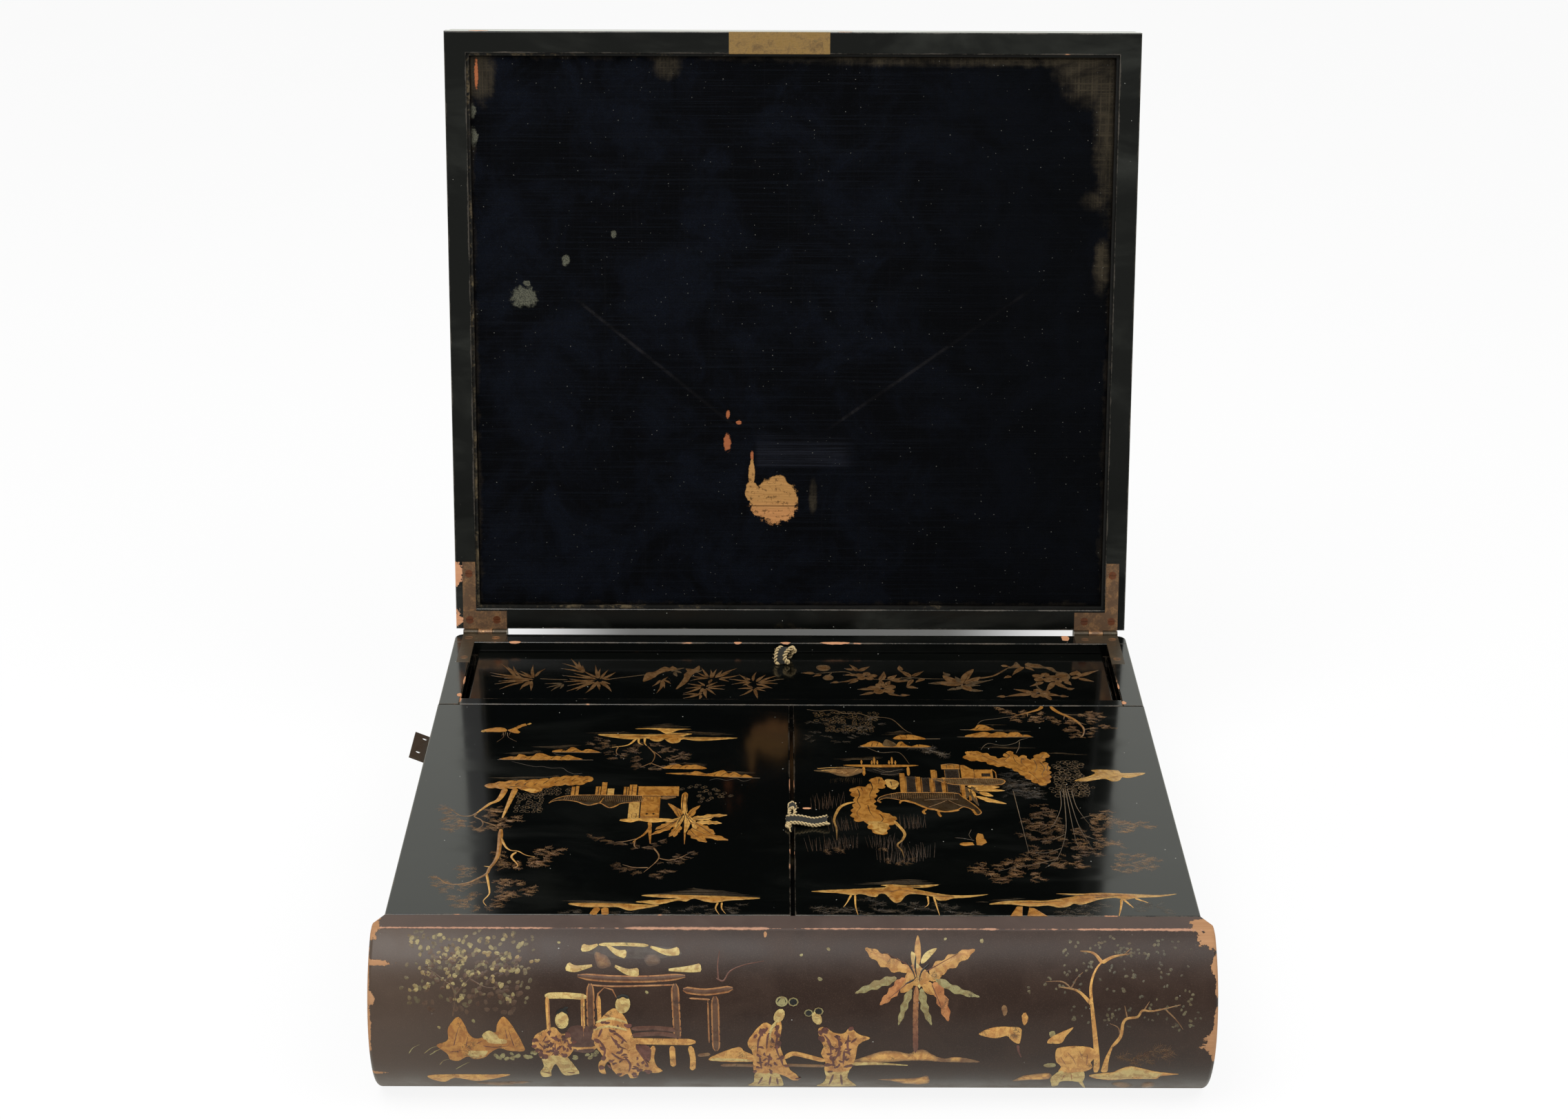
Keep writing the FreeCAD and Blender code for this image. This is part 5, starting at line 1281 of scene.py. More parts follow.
    art.draw("""
sow twig 3.5 dim spread=3 scatter=2.2: 118-30 3 3 3-4 4-3 3-4-4-3-5 5-2 12 6-2
# pale islet
fill pale z=.03: 152-22 8 5 4 4-2 3 5 1 10-1 1-3 13 0-9-6-4 1-2-4-4-1-4 3-10-3
strokes .5 tan z=.17 taper: 156-21 10 5 10 2/164-13 10 1/170-20 8 4 8 1/160-19 8 1
# weeping trees
strokes .7 dim taper: 145-32-2-38-2-16-3-14-4-12-6-8/147-32 2-40 5-28/149-34 1-18 3-14 3-10/
 143-34-1-18-4-16-4-10/146-34 0-50 1-14/151-66 7 4 6 2/141-84-7-6-6-2/152-86 8-6/138-99-8-5-6
 0/134-111-10-5-12-4-8-4/118-34 3-70
twigs 3.8 far spread=3 scatter=2.8: 143-50-10-3 4-4-6-3 5-2-5-4 8 0/142-66-18-4 3-4 6 3 5 1-11-8 7 2 4 0-5-6
twigs 3.8 near spread=3 scatter=2.8: 152-62 6 0 5 2-3-6 4-1 4-3-5-4-6 2 0-7-2 11/164-70 8-4 4-4 5 5-12-7 6 9 9-5
twigs 3.8 far spread=3 scatter=2.8: 144-84-22-2 5-3 4-2 6 4 4-3 5-2 2 6-5 6 5 0-7 3
twigs 3.8 near spread=3 scatter=2.8: 154-88-3-4 6 2 5-2-4-4-5-2 13 2-9 12
twigs 3.8 far spread=3 scatter=2.8: 142-98-14-2-4-3 6-4 5 3 8 6 7-2-3-4-11-6 5 0 13 4
twigs 3.8 near spread=3 scatter=2.8: 130-112-2-1-7 3-3-4 6-4 8 0 4 2-20-3 27 1 3 2/118-118-8 3-5-4-10-2 4-3 5-3
 4-4-2-3 6 10 6-1-4-4 8-1-23 11/160-104 7-2 5-4 5-4-7-3-6 3 11-7 5 3 3 6-5 4-15-12 5-4
# flying insect
fill gold: 97-81 1.8-3 .4-5 1.8-3-3.6-4.4 .6-2.6-2-2-1.6 2 .2 3-6.6-1-2 2 2 2 5 0 1.6 1 .4 5
strokes .3 dim: 93-90-1.6 5 1.6 6/94-91-6 2.4-4 .6
# islands in front
wash: 30-138 26 6 10-2 8-4-14 0
fill gold rim=pale z=.03: 10-145 36 4-2 2 6 1 8-1 15 1-6-3-7-1 15-6 10-1 12 1-9-3-8-1-4-2-4 0-3 4-11 2-5-8-3
 0-4 8-3 0-2-3-7 3-4-1-8 2
strokes .45 ink z=.18 rise=.03: 30-145 10 0 12 0/54-141 10 1/48-146 6 2 8-2/70-150 10 0
strokes 1.4 ochre taper: 29-149-2-7-2-5/31-149 0-11 1-9/67-150 0-8-2-3/70-150 1-10 1-9
sow twig 4.1 dim spread=3: 13-163 4-3 4 3 5-2 4 2 13 5-2-6 5-2 12 8 3-4 5-2 8 5 4-4 4-4 6 0-51 13-1-14 19 0
wash: 92-156 12 4 14 1-6-4
fill gold rim=pale z=.03: 97-158 7 3 11 1 10 0 8 2 7 3-9 2 12 0 12 1 25-2 11 1-9-3-11-1-6-2-5 2-8-2-9-5-4
 1-3-3-5-1-5 2-8-1-11 2
strokes .45 ink z=.18 rise=.03: 112-156 12 0 10 1/134-149 16 0 16 0/140-153 12 2 8 1
fill gold smooth=0: 110.6-160 2.8 0-.8-9.6-6 0
fill gold smooth=0: 116.6-161 2.4-.6 6-8-10 0
strokes 1.9 ochre taper: 163-152.6-1-7.4-2-9.4/164-152.6 4-8.4/170-151.6 6-4.4
sow twig 4.3 dim spread=3: 138-163 5 3 5-2 5 4 19 1 6-3 6-4-14 1-25-4-12 1""")
    return art


def strip_painting():
    art = Painting(13)
    art.draw("""
strokes 1.1 faint: -105 119.4 9 2.6 11 3.4/-146 119.4 8-1 8-.4/-10 118.6 6 1.4
strokes .4 ink z=.1: -101 120.2 0 1.4/-95.4 121.4-.2 2/-89 123.4 0 1.6
spray 1.9 strip: -160 121-11 20 10-19-6 15 9-15-5.4 16 6.4-16-19 5.6 20-6.6-19 2.4
spray 2.1 strip: -150 120-1.6 19 .6-19-7.6 10 9.6-8 5 11.4-7-12.4-9 7/-150 118-17 1.6 15-2.6-18-1.4 17 1-19-5 17
 3.4-13.4-10.4 16.4 11.4-4.6-12.4 5.6 12.4 1-13.6-.4 13.6-4.2-8
spray 1.9 strip: -121 128-14 5.6 14-4.6-13.6 12 11.6-10-7 17 8-16-3 12 4-15-1.6 9.4
spray 2.1 strip: -113 119-20.6 5 19.6-4-13 7 14-6-9 10 9.4-11-2.4 19 3-19 .4 14 .6-15 4 13.4-3-13.4 7.4
 9.6-6.4-10 5 .4
spray 2.2 strip: -114 117-15 2 14-3-17-1 16 0-13.6-5.4 14.6 5.4-14.4-13 15.4 13-10-12 11 12-5.4-15.4 5.8 16.4
 2-12.4-.4 11.4 7.6-13.4-6.6 14.4 5.4-4
spray 1.8 faint: -132.6 113-10.4-.6 10.4-.4-8.8-5 8.4 4-5.6-8.6 6.6 9.6-1.6-7
spray 1.9 strip: -76 118-4.4-9 5.4 9-2.6-18.4 3.2 17.4 1.4-10.4-1 11.4 4.4-5.4-5.4 3.4 3.4 6.4
spray 2.1 strip: -48 121-10.6-4 9.6 4-10 3 10-2-6 6.6 7-6.6-4.6 13.6 5.6-14.6 0 12 1-12 2.6 12.6/-44 121 4
 11-3-10 7.4 7-6.4-7 10.4 12.6-9.4-13.6 10.6 4-11.6-5 6-4-10 3-1.6-7/-49 109 6.4 6.4-5.4-7.4 10 3-10-4
 9.6-1.6-10.6 1.6 5.6-9-6.2 8 1.2-13-2.6 14-2.4-8 1.4 9-10-8.4
spray 1.9 strip: -52 109-9-2.4 10 3.4-9 3 10-3-4 6 1-17-9.4-1 9.4 0-9-5 10 5-1-7 2 9-7-4
spray 2 strip: -23 115-11.4-3 10.4 4-12 3.6 11-2.6-5.4 9 6.4-8-2 3.6 4-4.6 2 12.6 0-13.6 5.4 9.6-3.4-9.6 10.4
 8.6/-19 115 10 3-9-4 10.4-.6-10.4-.4 7.4-6-9.4 6 5-3-9 4-4-3/-22 107-8.6-1 8.6 0-7.4-9.4 8.4 9.4 2-13.4-2 14.4
 6.4-4-5.4 5 7 0-9 0-4 4
fill strip z=.03: -86 116 1.4 11.6 4.6 1.8 5.4 7 3.6-1.4 1.4 2.6 3.2-5-5.6-2.2-5-4-2.4-4.8-3.6-4.2
fill strip z=.03: -66.6 105.6 4 14.4 .2 6 1.8 4-1 4 4.6-.4 3 4.8 .6-6-3.2-5.4-2-5-1.4-6.4-3.6-6.6
leaves 2 faint z=.02: -70 130 7.6 5-5.6-4 4-3-4 2 1.6-7 9.4 5 5 4
strokes .5 ink z=.12 taper: -71.6 121 1.6-4-1.4-5/-47.4 122 .4-8-1.6-7/-27 124 2-8 2.4-9
# flowering branch
stroke 1 faint: 12 127 18 3.4 6-3 4-4.8 8-2.6 10-.4 6 1.8 6 .8 10-1.2 11-.4
strokes 1.2 faint: 60 118 6 1.4 5 2.6/24 129-2-4/143 117 0-7 3-6/108 121 8 3 6 4.6 7 9.4
stroke 2.4 strip taper: 108 121.6 6 1.4 6 3.6 8 9.8 4 2.2 4-.6
fill strip rim=faint z=.02: 15 135.6 1 3.2 3.6 1.2 3.2-2 .4-4-2.2-2.6-3.6 .2
fill strip rim=faint z=.02: 20 118.8-1.4 2.8 1.8 3.8 3 .2 1.6-3.6-1-3-2-.8
fill strip rim=faint z=.02: 128 136 3 4 2 5 1.6-3 1-4.4-3.6-1.2
fill strip rim=faint z=.02: 138 140 2 4 3-1.6 4-.8 2-3 5-1.6 1.6-4.4 2.4-2.2-3.6 0-4.4 5.2-6 .4-4 2
fill strip rim=faint z=.02: 156 130 4 .6 3-3.2 0-5.4-3-3-3 3-2 4""")
    for row in ("44 124 3.4 .2", "53 107 4.4 .5", "148 123 3.8 .1", "143 101 3.6 .4", "156 121 3.2 .9"):
        x, y, reach, turn = numbers(row)
        for k in range(5):
            angle = turn + k * math.tau / 5
            near, middle, tip = ((x + math.cos(angle) * reach * out, y + math.sin(angle) * reach * up)
                                 for out, up in ((0.25, 0.25), (1.125, 1), (2, 1.75)))
            art.stroke([near, tip], reach * 1.35, "strip", shape="round", z=0.02 + 0.01 * k)
            art.stroke([near, middle], 0.35, "ink", z=0.18, rise=0.02)
    art.draw("""
leaves 3.6 strip rib=.35 blade: 14 128-8 .4 12-1.8-5-3.2 26 7.6-4.4 9.6 5.4-9.6 6.6 7-9.6-5-5.4 1.6
 7.4-8.6-8.4-.6 8.4-4.4-11.4-5.4 11.4 3.8-5.6-5.8-5.4 2.4-5-1.6
leaves 3.8 strip rib=.35 blade z=.01: 52 118 2.6 13 2.4-11 5 6-4-8 7 4.6-5-5.6 10 1 0 5-7 10 2-1-1 7.4
 7-15.4 7 7.6-7-11.6-4-11.4 11 12.4-5.4-5.4-5.6-6 6.6-2
leaves 3.6 strip rib=.35 blade: 47 107-8.4-1 9.4-4-8.4-4 16.4 3 8-4-1 1.4 5.6 0-15.6 14.6-1 6 4-7 2 6
leaves 5.6 strip z=.02: 100 113-11 12.6 11-11.6 7.4 20.6-8.4-21.6-14.4 2.6 14.4-3.6 5.6-8-3.6 10 9.6 9.6
leaves 3.4 faint blade z=.04: 101 112 17 8-19-10-4-4.6 6 5.6 9 1-17 13-3.6 5-1.4-15-8-.6 16-6.8-5.4-2.6 13.4
 1 7-1.6-13 11.6-2 8 6-8 10 2
strokes .4 ink z=.2 rise=.03 taper: 100 113-8 8/100 113 5 16/99 113-10 2/100 112 3-6/101 114 7 7/101 112 13
 6
leaves 3.6 strip blade z=.01: 137 138-7.4-12 8.4 12 5-5.6-14-7.4-4.6-3-.4 17.6 5-1.6 10 5 3-6 26-11 0 7
 0-8.4 13 9-13-11.6 8.6-4.4-12.6 8.4 4 6.6-8-14.6 3-5.4
leaves 3.6 strip blade z=.02: 153 117-6-14.4 7 14.4 8-10.4-15 10.4-8.4-6.4 .4-8-10 4.4 10-7-15.4-3.4 0
 0-5-.2 27.4 4.6 10-3.6-1 .6 5-1-13 1 2.6-7.4 10.4 16.4 4.4 1-.4 14 6 4""")
    return art


def panel_painting():
    art = Painting(14)
    art.draw("""
# leafy tree behind the rocks
sow dab 2.6 150,136,90 spread=3 scatter=2.6: -183 7 11-1 12 1 12 1 10-3-41 7 9-1 3 2 7-1 13 0 11 1-5 1-31 3 7-1
 7-1 7-2-27 6 19-1 12 1 8 1 5 3-42 5 7-4 6-2 9 0 7 1-11 4-7 0-17 5 40-3-19 5 25 1 5-25 7 7-54 7 24-15
strew dab 2.2 104,92,64: -188-126 3 38 130
strew dab 2.8 86,64,46: -178-132 12 42 110
strokes 1 92,70,50 taper: -164 44 1-10-3-10 4-10/-163 34 7-8 6-6/-164 30-8-6-6-4/-156 26 8 4 6 0
fill stone z=.03: -172.4 60 5.4-3 .4-6 2.2-4 3-2.6 2.8 3.6 2.2 5.4 3 2.6 3.8-1 3-3.2 3 .8 1.2-5 2.8-3.4 3.6
 3.8 3 5.4 2 4.6 1 5.2-7 0-5-1.6-4 2.4-4 4-4.6 .8-3.4-1.8-4.4 3.2-4-1.2-1.2-4
fill cream z=.12: -150 54 3.4-2.6 4.6 3 5.4 2.6-2.4 2.6-7-.2-2.8-2.4
fill cream z=.12: -159 63 2.4-2 4.6 1.4 4.4-1.4-1.4 5.4-4.6 1.8-3.4-1.8
strokes .7 rust z=.17 taper: -164 60 2-8 2-5/-158 60 1-5/-138 56-1-6/-135 60-2-8/-150 60 6 1 6-1/ -166 64
 6-1/-153 59 3-2
sow dab 3 olive spread=2: -144 68 5-1 5 1 6-1 2-3-10 2 30 1 6 0 4-1
strokes .6 olive taper: -186 65 2-3.4 3.4-2/-178.6 65 3.6-3.4 3-1/-176 66 4-3/-171.6 73 2-3 2.6-1/-164 76.6
 4-3.6 3-2/-174 64 4-2
# ground streaks
fill ochre z=.02: -177.6 82.6 29.6-1 10 .4-12 6-5.6 1.4-9.4-4-6.6 5.6
fill tan rim=70,56,42 z=.02: -156 91.6 11-1.6 18 .4-15 8.2-8-1
fill ochre rim=tan z=.02: 42 86 18-1.6 6-2.4 .4 10.4-10.4 .2-6.4-4.2
fill tan rim=70,56,42 z=.01: 157 90 7-1 4 6-3 7-5-3
fill tan rim=70,56,42 z=.01: 172 90 6 0 0 11-5 0
# pavilion
fill tan rim=84,62,44: -96 12.6 6 2 2 5-6 .8
fill 92,70,50 rim=64,48,38: -72 14.6 6-.6 2 4-6 1.6
fill 62,50,40 rise=.03: -102 11.6 6 2.4 12 2 18 0 12-2.4-8-3.6-30-.4
strokes 4.6 cream taper z=.1: -102.4 10.4 3.4 .4 4.4-1.8/-80.6 13.8-4.4-.8-5-3.6/-55 12-6 .8-8-2.8/ -109.4
 19.6 4.4 1.4 8-1.6/-74.4 22.6-5.6-.2-6-2.8/-44.4 20.2-5.6 .8-10 .4
stroke 1.8 cream z=.08: -94 9 12-.2 12 .6
hollow 3.4 beam: -104 24.4 14 1.2 20 .2 18-1.4/-53 30.8 11 1.2 13-1.8
strokes .8 beam z=.1: -98.8 28.6 12.8 .8 29-.8/-50 35 10 .6
hollow 4 beam: -97.8 28 .6 34/-57 28 1.4 28/-37.6 34 .6 29
strokes .8 beam z=.1 step=3: -91 30-3 3-.6 7/-91 30 4 1 2 4/-101.6 36 .6 20/-118 36 1 20/-41 36 .6 22
strokes 1.9 ochre z=.04 step=3: -101.4 34 .4 24/-118.6 34 1.2 24/-93.6 34 .6 24
strokes 3 cream z=.06: -119.6 34 9.6-.2 10.6 .8
fill 86,56,44 z=.03: -108 50 8-1 5 3-1 11-8 1-6-4
strew dab 2.2 tan: -110-97 50 63 26
strokes 2.6 ochre z=.12: -112 60.4 8 1 9-.4
# boy
robe .06 50: -126 60 1.6-6 4.8-3 4.6-1.4 3 3.4 5 0 2.6 5-5.2 9.6-6.4-1.6-6 2-1.6-4.6
fill cream z=.04: -121.4 67.4 5.4-2 6 1 6 12.6-2.6 2.4-5 .4-3.4-9.4-2.6 5.6-.4 5-4 1-1-5 2-5
strokes .9 rust z=.2 leaf: -123 58 3 4/-119 54-2 4/-117 60 5 6/-112 60-5 6/-115 58 0 8/-109 56 1 6/-121 79 3
 1/-110 79 4 .6
# seated elder
robe .08 80: -98 56 2-6 2.4-4 7-6 4.6 3 3 6 4.4 14 4.6 8 6 6.4-3 2.2-7-1.6-2 6-3.4 1-1.2-4.6-3.4
 3-3.4-5.4-1.2-6-1.4-1.6-1.6 4.6 .6 5.6-3-1.6-.4-7 2-6
strokes 1.3 cream z=.24: -95 47 7-2 8 2/-96 51 7-2 9 2
strokes 1.3 rust z=.24 leaf: -94 56 3 6-1 6/-88 54 4 6 4 2/-86 52 6 6/-76 60 4 8 2 6/-82 66 3 6-1 7/-88 64 4
 4 4 1/-92 50-2 5/-90 72 2 4
# table, stool and far post
strokes 3.6 ochre z=.05: -79.6 57 13.6 .4 19 .2
strokes 2.4 98,64,48 z=.03: -78 50.4 12-.4 12 1.4/-78 54 14-1 10 2
strokes 2.8 ochre z=.04: -67.4 60-1.2 8 1.6 7 3.4 3/-58.4 60 .4 14/-49.6 60 1.2 8-.4 9
fill rust z=.1: -77 60 7 0 2 6-2 4-4-4
strokes .9 104,66,50 taper: -36 26-.4-7 .8-7/-37 25.4 3.4 1.2 3.2-4.6 6.4-3 10-2
# ground between the ladies
fill ochre z=.03: -40 69.4 4-4.8 10-4.2 2 2.2 5 3.4 0 4
strokes 2 cream z=.14: -40 68.6 10-.2 10 .6
strokes 2.2 tan z=.02: -35 73 8-.2 9 .6/-46 66 6-1/-4 72.6 10 .4 10 .4
strokes 2.8 ochre z=.04: -4 68 3-3 4 0 13 4.6
# lady on the left
robe .06 70: -6.4 44-2.6 4.6-5-1.6-6.8 8-.8 5 2.2 4 1 15 6.4 2.6 5-1.2 4.4 3.2 3.2 4
 2.8-1.2-1.4-5.4-3.2-5-3.8-12-1.4-7 1-7
fill cream z=.05: -18 79.4 6-1 5.4 1.6 2.2 16-4.6 2.6-6 .4-6.8-2.6 2.8-6.4
strokes 1.1 rust z=.22 leaf: -9 49-3 5-.6 8/-13 50-3.4 6-.6 8/-7 52-1 8 2 8/-11 64-1 10/-16 66 1 10/-6 66
 1.4 7/-10.6 82-.8 13/-14.6 83-2.4 11/-7.6 84 .6 10
strokes 1.6 cream z=.24 leaf: -8 46-3 6 .4 4
# lady on the right
robe .06 44: 12.4 50 .6 5.6 2 4.8-1.4 4 2.4 5.6-.2 7 6.2 2 5.4-2 3-9 1-8 2.2-2.6 3.8-2.4-5.4-2-4.4-3.4-3
 3-5-.6-3.6-2.6
fill cream z=.05: 16 75.6 6 1.8 5.6-2-.6 8.6 4.6 12.6-5.6 2.4-7 .4-7-2 3-6.4 1.4-7
strokes 1.2 rust z=.22 leaf: 15 53 3 5 .6 8/22 54 .6 8-2.6 8/27 53-.4 7 1.4 6/25 62-.4 10/19 66 1.4 8/20
 80-2 14/23.6 80 1 15/31 55-3 3
# ground under the palm
fill ochre rim=tan z=.03: 28.6 70.2 10.8-5.8 5.6-1.8 6 .4 5.4 1.4 3.6-2.2 4-.2 4.6 3.4 5.4 2.2 6-1.2 11
 3.6-17 0-14-1-20 1.6
strokes 2.8 cream z=.04 taper: 29 71.6 13-.2 14 1.2
# palm
stroke 2.6 beam end=rust: 59.6 29-.4 15 .4 20
fill frond z=.06: 56 21 3-4 3 3 3 2 1 4-4 3-5-1-3-3
strokes .9 ink z=.2 leaf: 59.4 14-.4 6 1 5/55 17 3 5 1 4/66 18-4 4-1 5/54 28 4-2 2-2
leaves 3.4 frond z=.05: 60.4 19 .2-15.4
leaves 7.6 frond palm z=.05: 54 21-19-10.6 31 12.6 22-12
leaves 6.4 176,118,66 palm z=.04: 54 25-12 13 26-11 7 19
leaves 4.4 olive palm z=.03: 50 25-20 7.4 38-7.4 22 9-33-4-6 18 11-18 5 18
leaves 3 cream z=.03: 62 18 7.6-7.6-10.6 9.6-1.6-8
leaves 5 frond z=.09: 57 21-7-1 15 5 7-2.4-14 4.4-6 5 11-5 5 6
leaves 3.6 cream z=.1: 60 18 1 12
strokes .5 rust z=.2 taper: 58 20-14-7.4/64 22 16-9/57 26-11 9/67 28 5 12
# birds, hats and the fisherman
fill tan: 100.6 39 2-1 1 3-1.6 2.4
fill ochre: 110.4 43 2-1.4 1.2 3.4-2 3
fill ochre z=.03: 90 53 3-2.4 5-1.6 6-.2 6 .6 .4 3.6-.8 5-3.6-1.6-2.6-2.8-5.4 1.4
stroke 1.6 rust taper: 109 59 .6 4 1.4 3.6
fill ochre z=.06: 123 57.6 2-3.2 7-4 3.6-1.4-3.2 4.4-2.4 4.2-4 .4
fill olive z=.03: 124 51.6 2.4-.6 .6 3-2.4 .4
fill ochre z=.05: 127.6 62 3-2 9.4-.6 6.4 2 .8 4.6-2.2 4 1 4-4.4 3.6-11.2 .4 .2-5-2.6-4
fill cream z=.05: 130.4 77 5.2 1.6 6-1.6 1.4 6-1.4 5.6-5.6-1.2-4.6 1.2-.6 6.4-2.4 2-1.4-7-.4-6.4
stroke 2.4 cream taper: 141 87 2 7 2 9
strokes .7 beam z=.2 leaf: 133 63 3 4 2 5/139 62 2 6/130 66 3 6/136 79 1 7/133 80-1 6/143 64 0 8
fill olive z=.03: 122 72.4 2-1.6 3.6 .2 .2 2.4-3.8 .4
fill ochre rim=tan z=.03: 108 88 3-4.6 3.6-2.6 10.8-1.8 0 6-11.4 1.4
# tree on the right
strokes 3.2 ochre z=.03 taper: 148 78-.4-12-3.6-30 0-9 2.4-6.4 3-3.6
strokes 3.6 ochre z=.03 taper: 152 78 .6-10 2-8.4
strokes 1.9 ochre z=.04 taper end=tan: 154.4 60 4-6 1-7 2-2.6 5-.8 2.2-3.2 5.4 .2 13-3/144
 37.6-4-4.6-4-2.6-8-1.4/149.4 17.4-4-4.8-6.4-1/149.4 17.4 5.6-3 8-1.4
strokes .9 tan taper: 180 40 5 5 3.6 5/158.4 53-1.4-4-4-2/161.4 44-1.4-6/169 41 3-5/134 29.6-4-3-8 0/ 134 30 3-5
 3-3/160 13.6 4-3.6
sow dab 1.7 98,90,64 spread=3 scatter=2.6: 150 8 5-1 6 3 4 3-19-5 6-2 6 6 12 0 5-3-42 12 6-2 3 0-6-11-5 4 29 19
 15 6 10-1 5 0 1-3-3 7-38 5 4 0-26-14-16-1 12-3 56-4-17 2 15 15 14 7-6 3-49-5
strew dab 1.5 82,76,58: 132 196 5 48 90
fill cream rim=ochre z=.04: 145 81 5-2 6-1 3-2.4 5-2.6 6 1.4 8 3 10.6 2.2-8.6 1.8-2 3.2-12 0-10 1.4-8-2
sow twig 5 tan heart=156,72 scatter=1.2: 158 66 4 2 4-2 4-1 4-2 4-1-6 7-8 2 16-5""")
    # heads: plain pale ovals with dark looped hair
    for row in ("-111.4 46 3.3 4.4 0", "-82 38 3.6 4.4 .1", "-6.6 43.4 2.6 3.5 .5", "11.6 44.6 2.4 3.3 -.5"):
        x, y, half, tall, lean = numbers(row)
        ring = [(x + math.cos(k * 0.628) * half + lean * math.sin(k * 0.628) * tall * 0.5,
                 y - math.sin(k * 0.628) * tall) for k in range(10)]
        art.fill(ring, "cream", z=0.26, ragged=0)
        art.stroke([(x - 0.9, y + 0.2), (x + 0.9, y + 0.2)], 0.3, "tan", z=0.42, rise=0.02)
    art.draw("""
strokes 1.6 hair z=.36: -114 42.6 2.6-1.8 2.8 1.6/-111 40.6 2.6-1.2/-85 35 3-1.2 3 1.2""")
    for x, y, half in ((-5.4, 36.4, 3), (0.2, 36.6, 2.6), (7.6, 42, 2.2), (12.4, 41.2, 2.4)):
        ring = [(x + math.cos(k * 0.785) * half, y + math.sin(k * 0.785) * half * 0.85) for k in range(8)]
        art.fill(ring, "olive", z=0.24, ragged=0)
        art.fill([(x + (p - x) * 0.72, y + (q - y) * 0.72) for p, q in ring], "hair", z=0.34, ragged=0)
    art.draw("""
# flecks
sow dab 2 olive spread=1: 3 12.6 14-2.6-3 14 77-16-19-4-187 4 43 26-82 14-16 0""")
    return art


def on_flat(top):
    """Sets a painting's points on a flat board whose top is given, mm."""
    return lambda x, y, height: (x * MM, y * MM, (top + height) * MM)


def on_panel(x, down, height):
    """A point at an arc length down from the panel's arris."""
    angle = PANEL_ARRIS - down / PANEL_RADIUS
    reach = PANEL_RADIUS + height
    return (x * MM, (PANEL_AXIS_Y - reach * math.cos(angle)) * MM, (PANEL_AXIS_Z + reach * math.sin(angle)) * MM)


BLACK_GOLD = painted_finish("gold on black", BLACK, 0.18, rgb(196, 178, 150), 0.8, 0.06)
BROWN_GOLD = painted_finish("gold and colours on brown", BROWN_BLACK, 0.42, rgb(190, 150, 116), 0.6, 0.1)
left_flap_painting().lay("left_flap_gold", on_flat(FLAP_TOP), BLACK_GOLD, "left_flap", "flap_lacquer")
right_flap_painting().lay("right_flap_gold", on_flat(FLAP_TOP), BLACK_GOLD, "right_flap", "flap_lacquer")
strip_painting().lay("strip_lid_gold", on_flat(STRIP_TOP), BLACK_GOLD, "strip_lid", "strip_lacquer")
panel_painting().lay("front_panel_gold", on_panel, BROWN_GOLD, "case", "panel_lacquer", mirrored=True)
for source in MOTIFS.values():
    bpy.data.objects.remove(source)


# ---------------------------------------------------------------- the ribbon pulls

def make_twist():
    """Two strands wound round each line."""
    net, given, out = tree_of("twisted cord", "GeometryNodeTree", [
        ("Geometry", "Geometry"), ("Spread", "Float"), ("Pitch", "Float"), ("Strand", "Float"),
        ("Silk", "Material")], [("Geometry", "Geometry")])
    line = net.add("GeometryNodeMeshToCurve", {"Mesh": given["Geometry"]})
    fine = net.add("GeometryNodeResampleCurve", {"Curve": line, "Length": 0.4}, mode="LENGTH")
    normal, tangent = net.add("GeometryNodeInputNormal"), net.add("GeometryNodeInputTangent")
    aside = net.vector("CROSS_PRODUCT", tangent, normal)
    far = net.add("GeometryNodeSplineParameter").outputs["Length"]
    round_strand = net.add("GeometryNodeCurvePrimitiveCircle", {"Resolution": 6, "Radius": given["Strand"]})
    both = net.add("GeometryNodeJoinGeometry")
    for start_turn in (0, math.pi):
        turn = net.plus(net.times(net.sum("DIVIDE", far, given["Pitch"]), math.tau), start_turn)
        ways = [net.times(net.sum(way, turn), given["Spread"]) for way in ("COSINE", "SINE")]
        away = net.vector("ADD", *(
            net.vector("MULTIPLY", side, net.add("ShaderNodeCombineXYZ", {0: reach, 1: reach, 2: reach}))
            for side, reach in zip((normal, aside), ways)))
        wound = net.add("GeometryNodeSetPosition", {"Geometry": fine, "Offset": away})
        net.feed(both.inputs[0], net.add("GeometryNodeCurveToMesh", {
            "Curve": wound, "Profile Curve": round_strand, "Fill Caps": True}))
    real = net.add("GeometryNodeRealizeInstances", {"Geometry": both})
    net.feed(out["Geometry"], net.add("GeometryNodeSetMaterial", {"Geometry": real, "Material": given["Silk"]}))
    return net.tree


def ribbon_finish():
    """Dark ribbed ribbon, its ribs across the run, with painted shade in the furrows between them."""
    net = Finish("ribbed ribbon")
    place = net.place()
    along = net.add("ShaderNodeAttribute", attribute_name="along").outputs["Fac"]
    ribs_and_furrow_shade = net.sum("SINE", net.times(along, 10))
    worn = net.cloud(place, 420, 4, 0.65)
    # painted shade: the furrows between the ribs are darker and the rib tops lighter
    skin = net.mix(net.span(ribs_and_furrow_shade, -1, 1), rgb(34, 34, 31), rgb(52, 51, 47))
    net.coat("Base Color", net.mix(net.span(worn, 0.5, 0.75, 0, 0.5), skin, rgb(72, 66, 56)))
    net.coat("Roughness", net.span(worn, 0.3, 0.7, 0.7, 0.95))
    net.bump(ribs_and_furrow_shade, 0.0001, 0.6)
    net.coat("Specular IOR Level", 0.25)
    return net.made


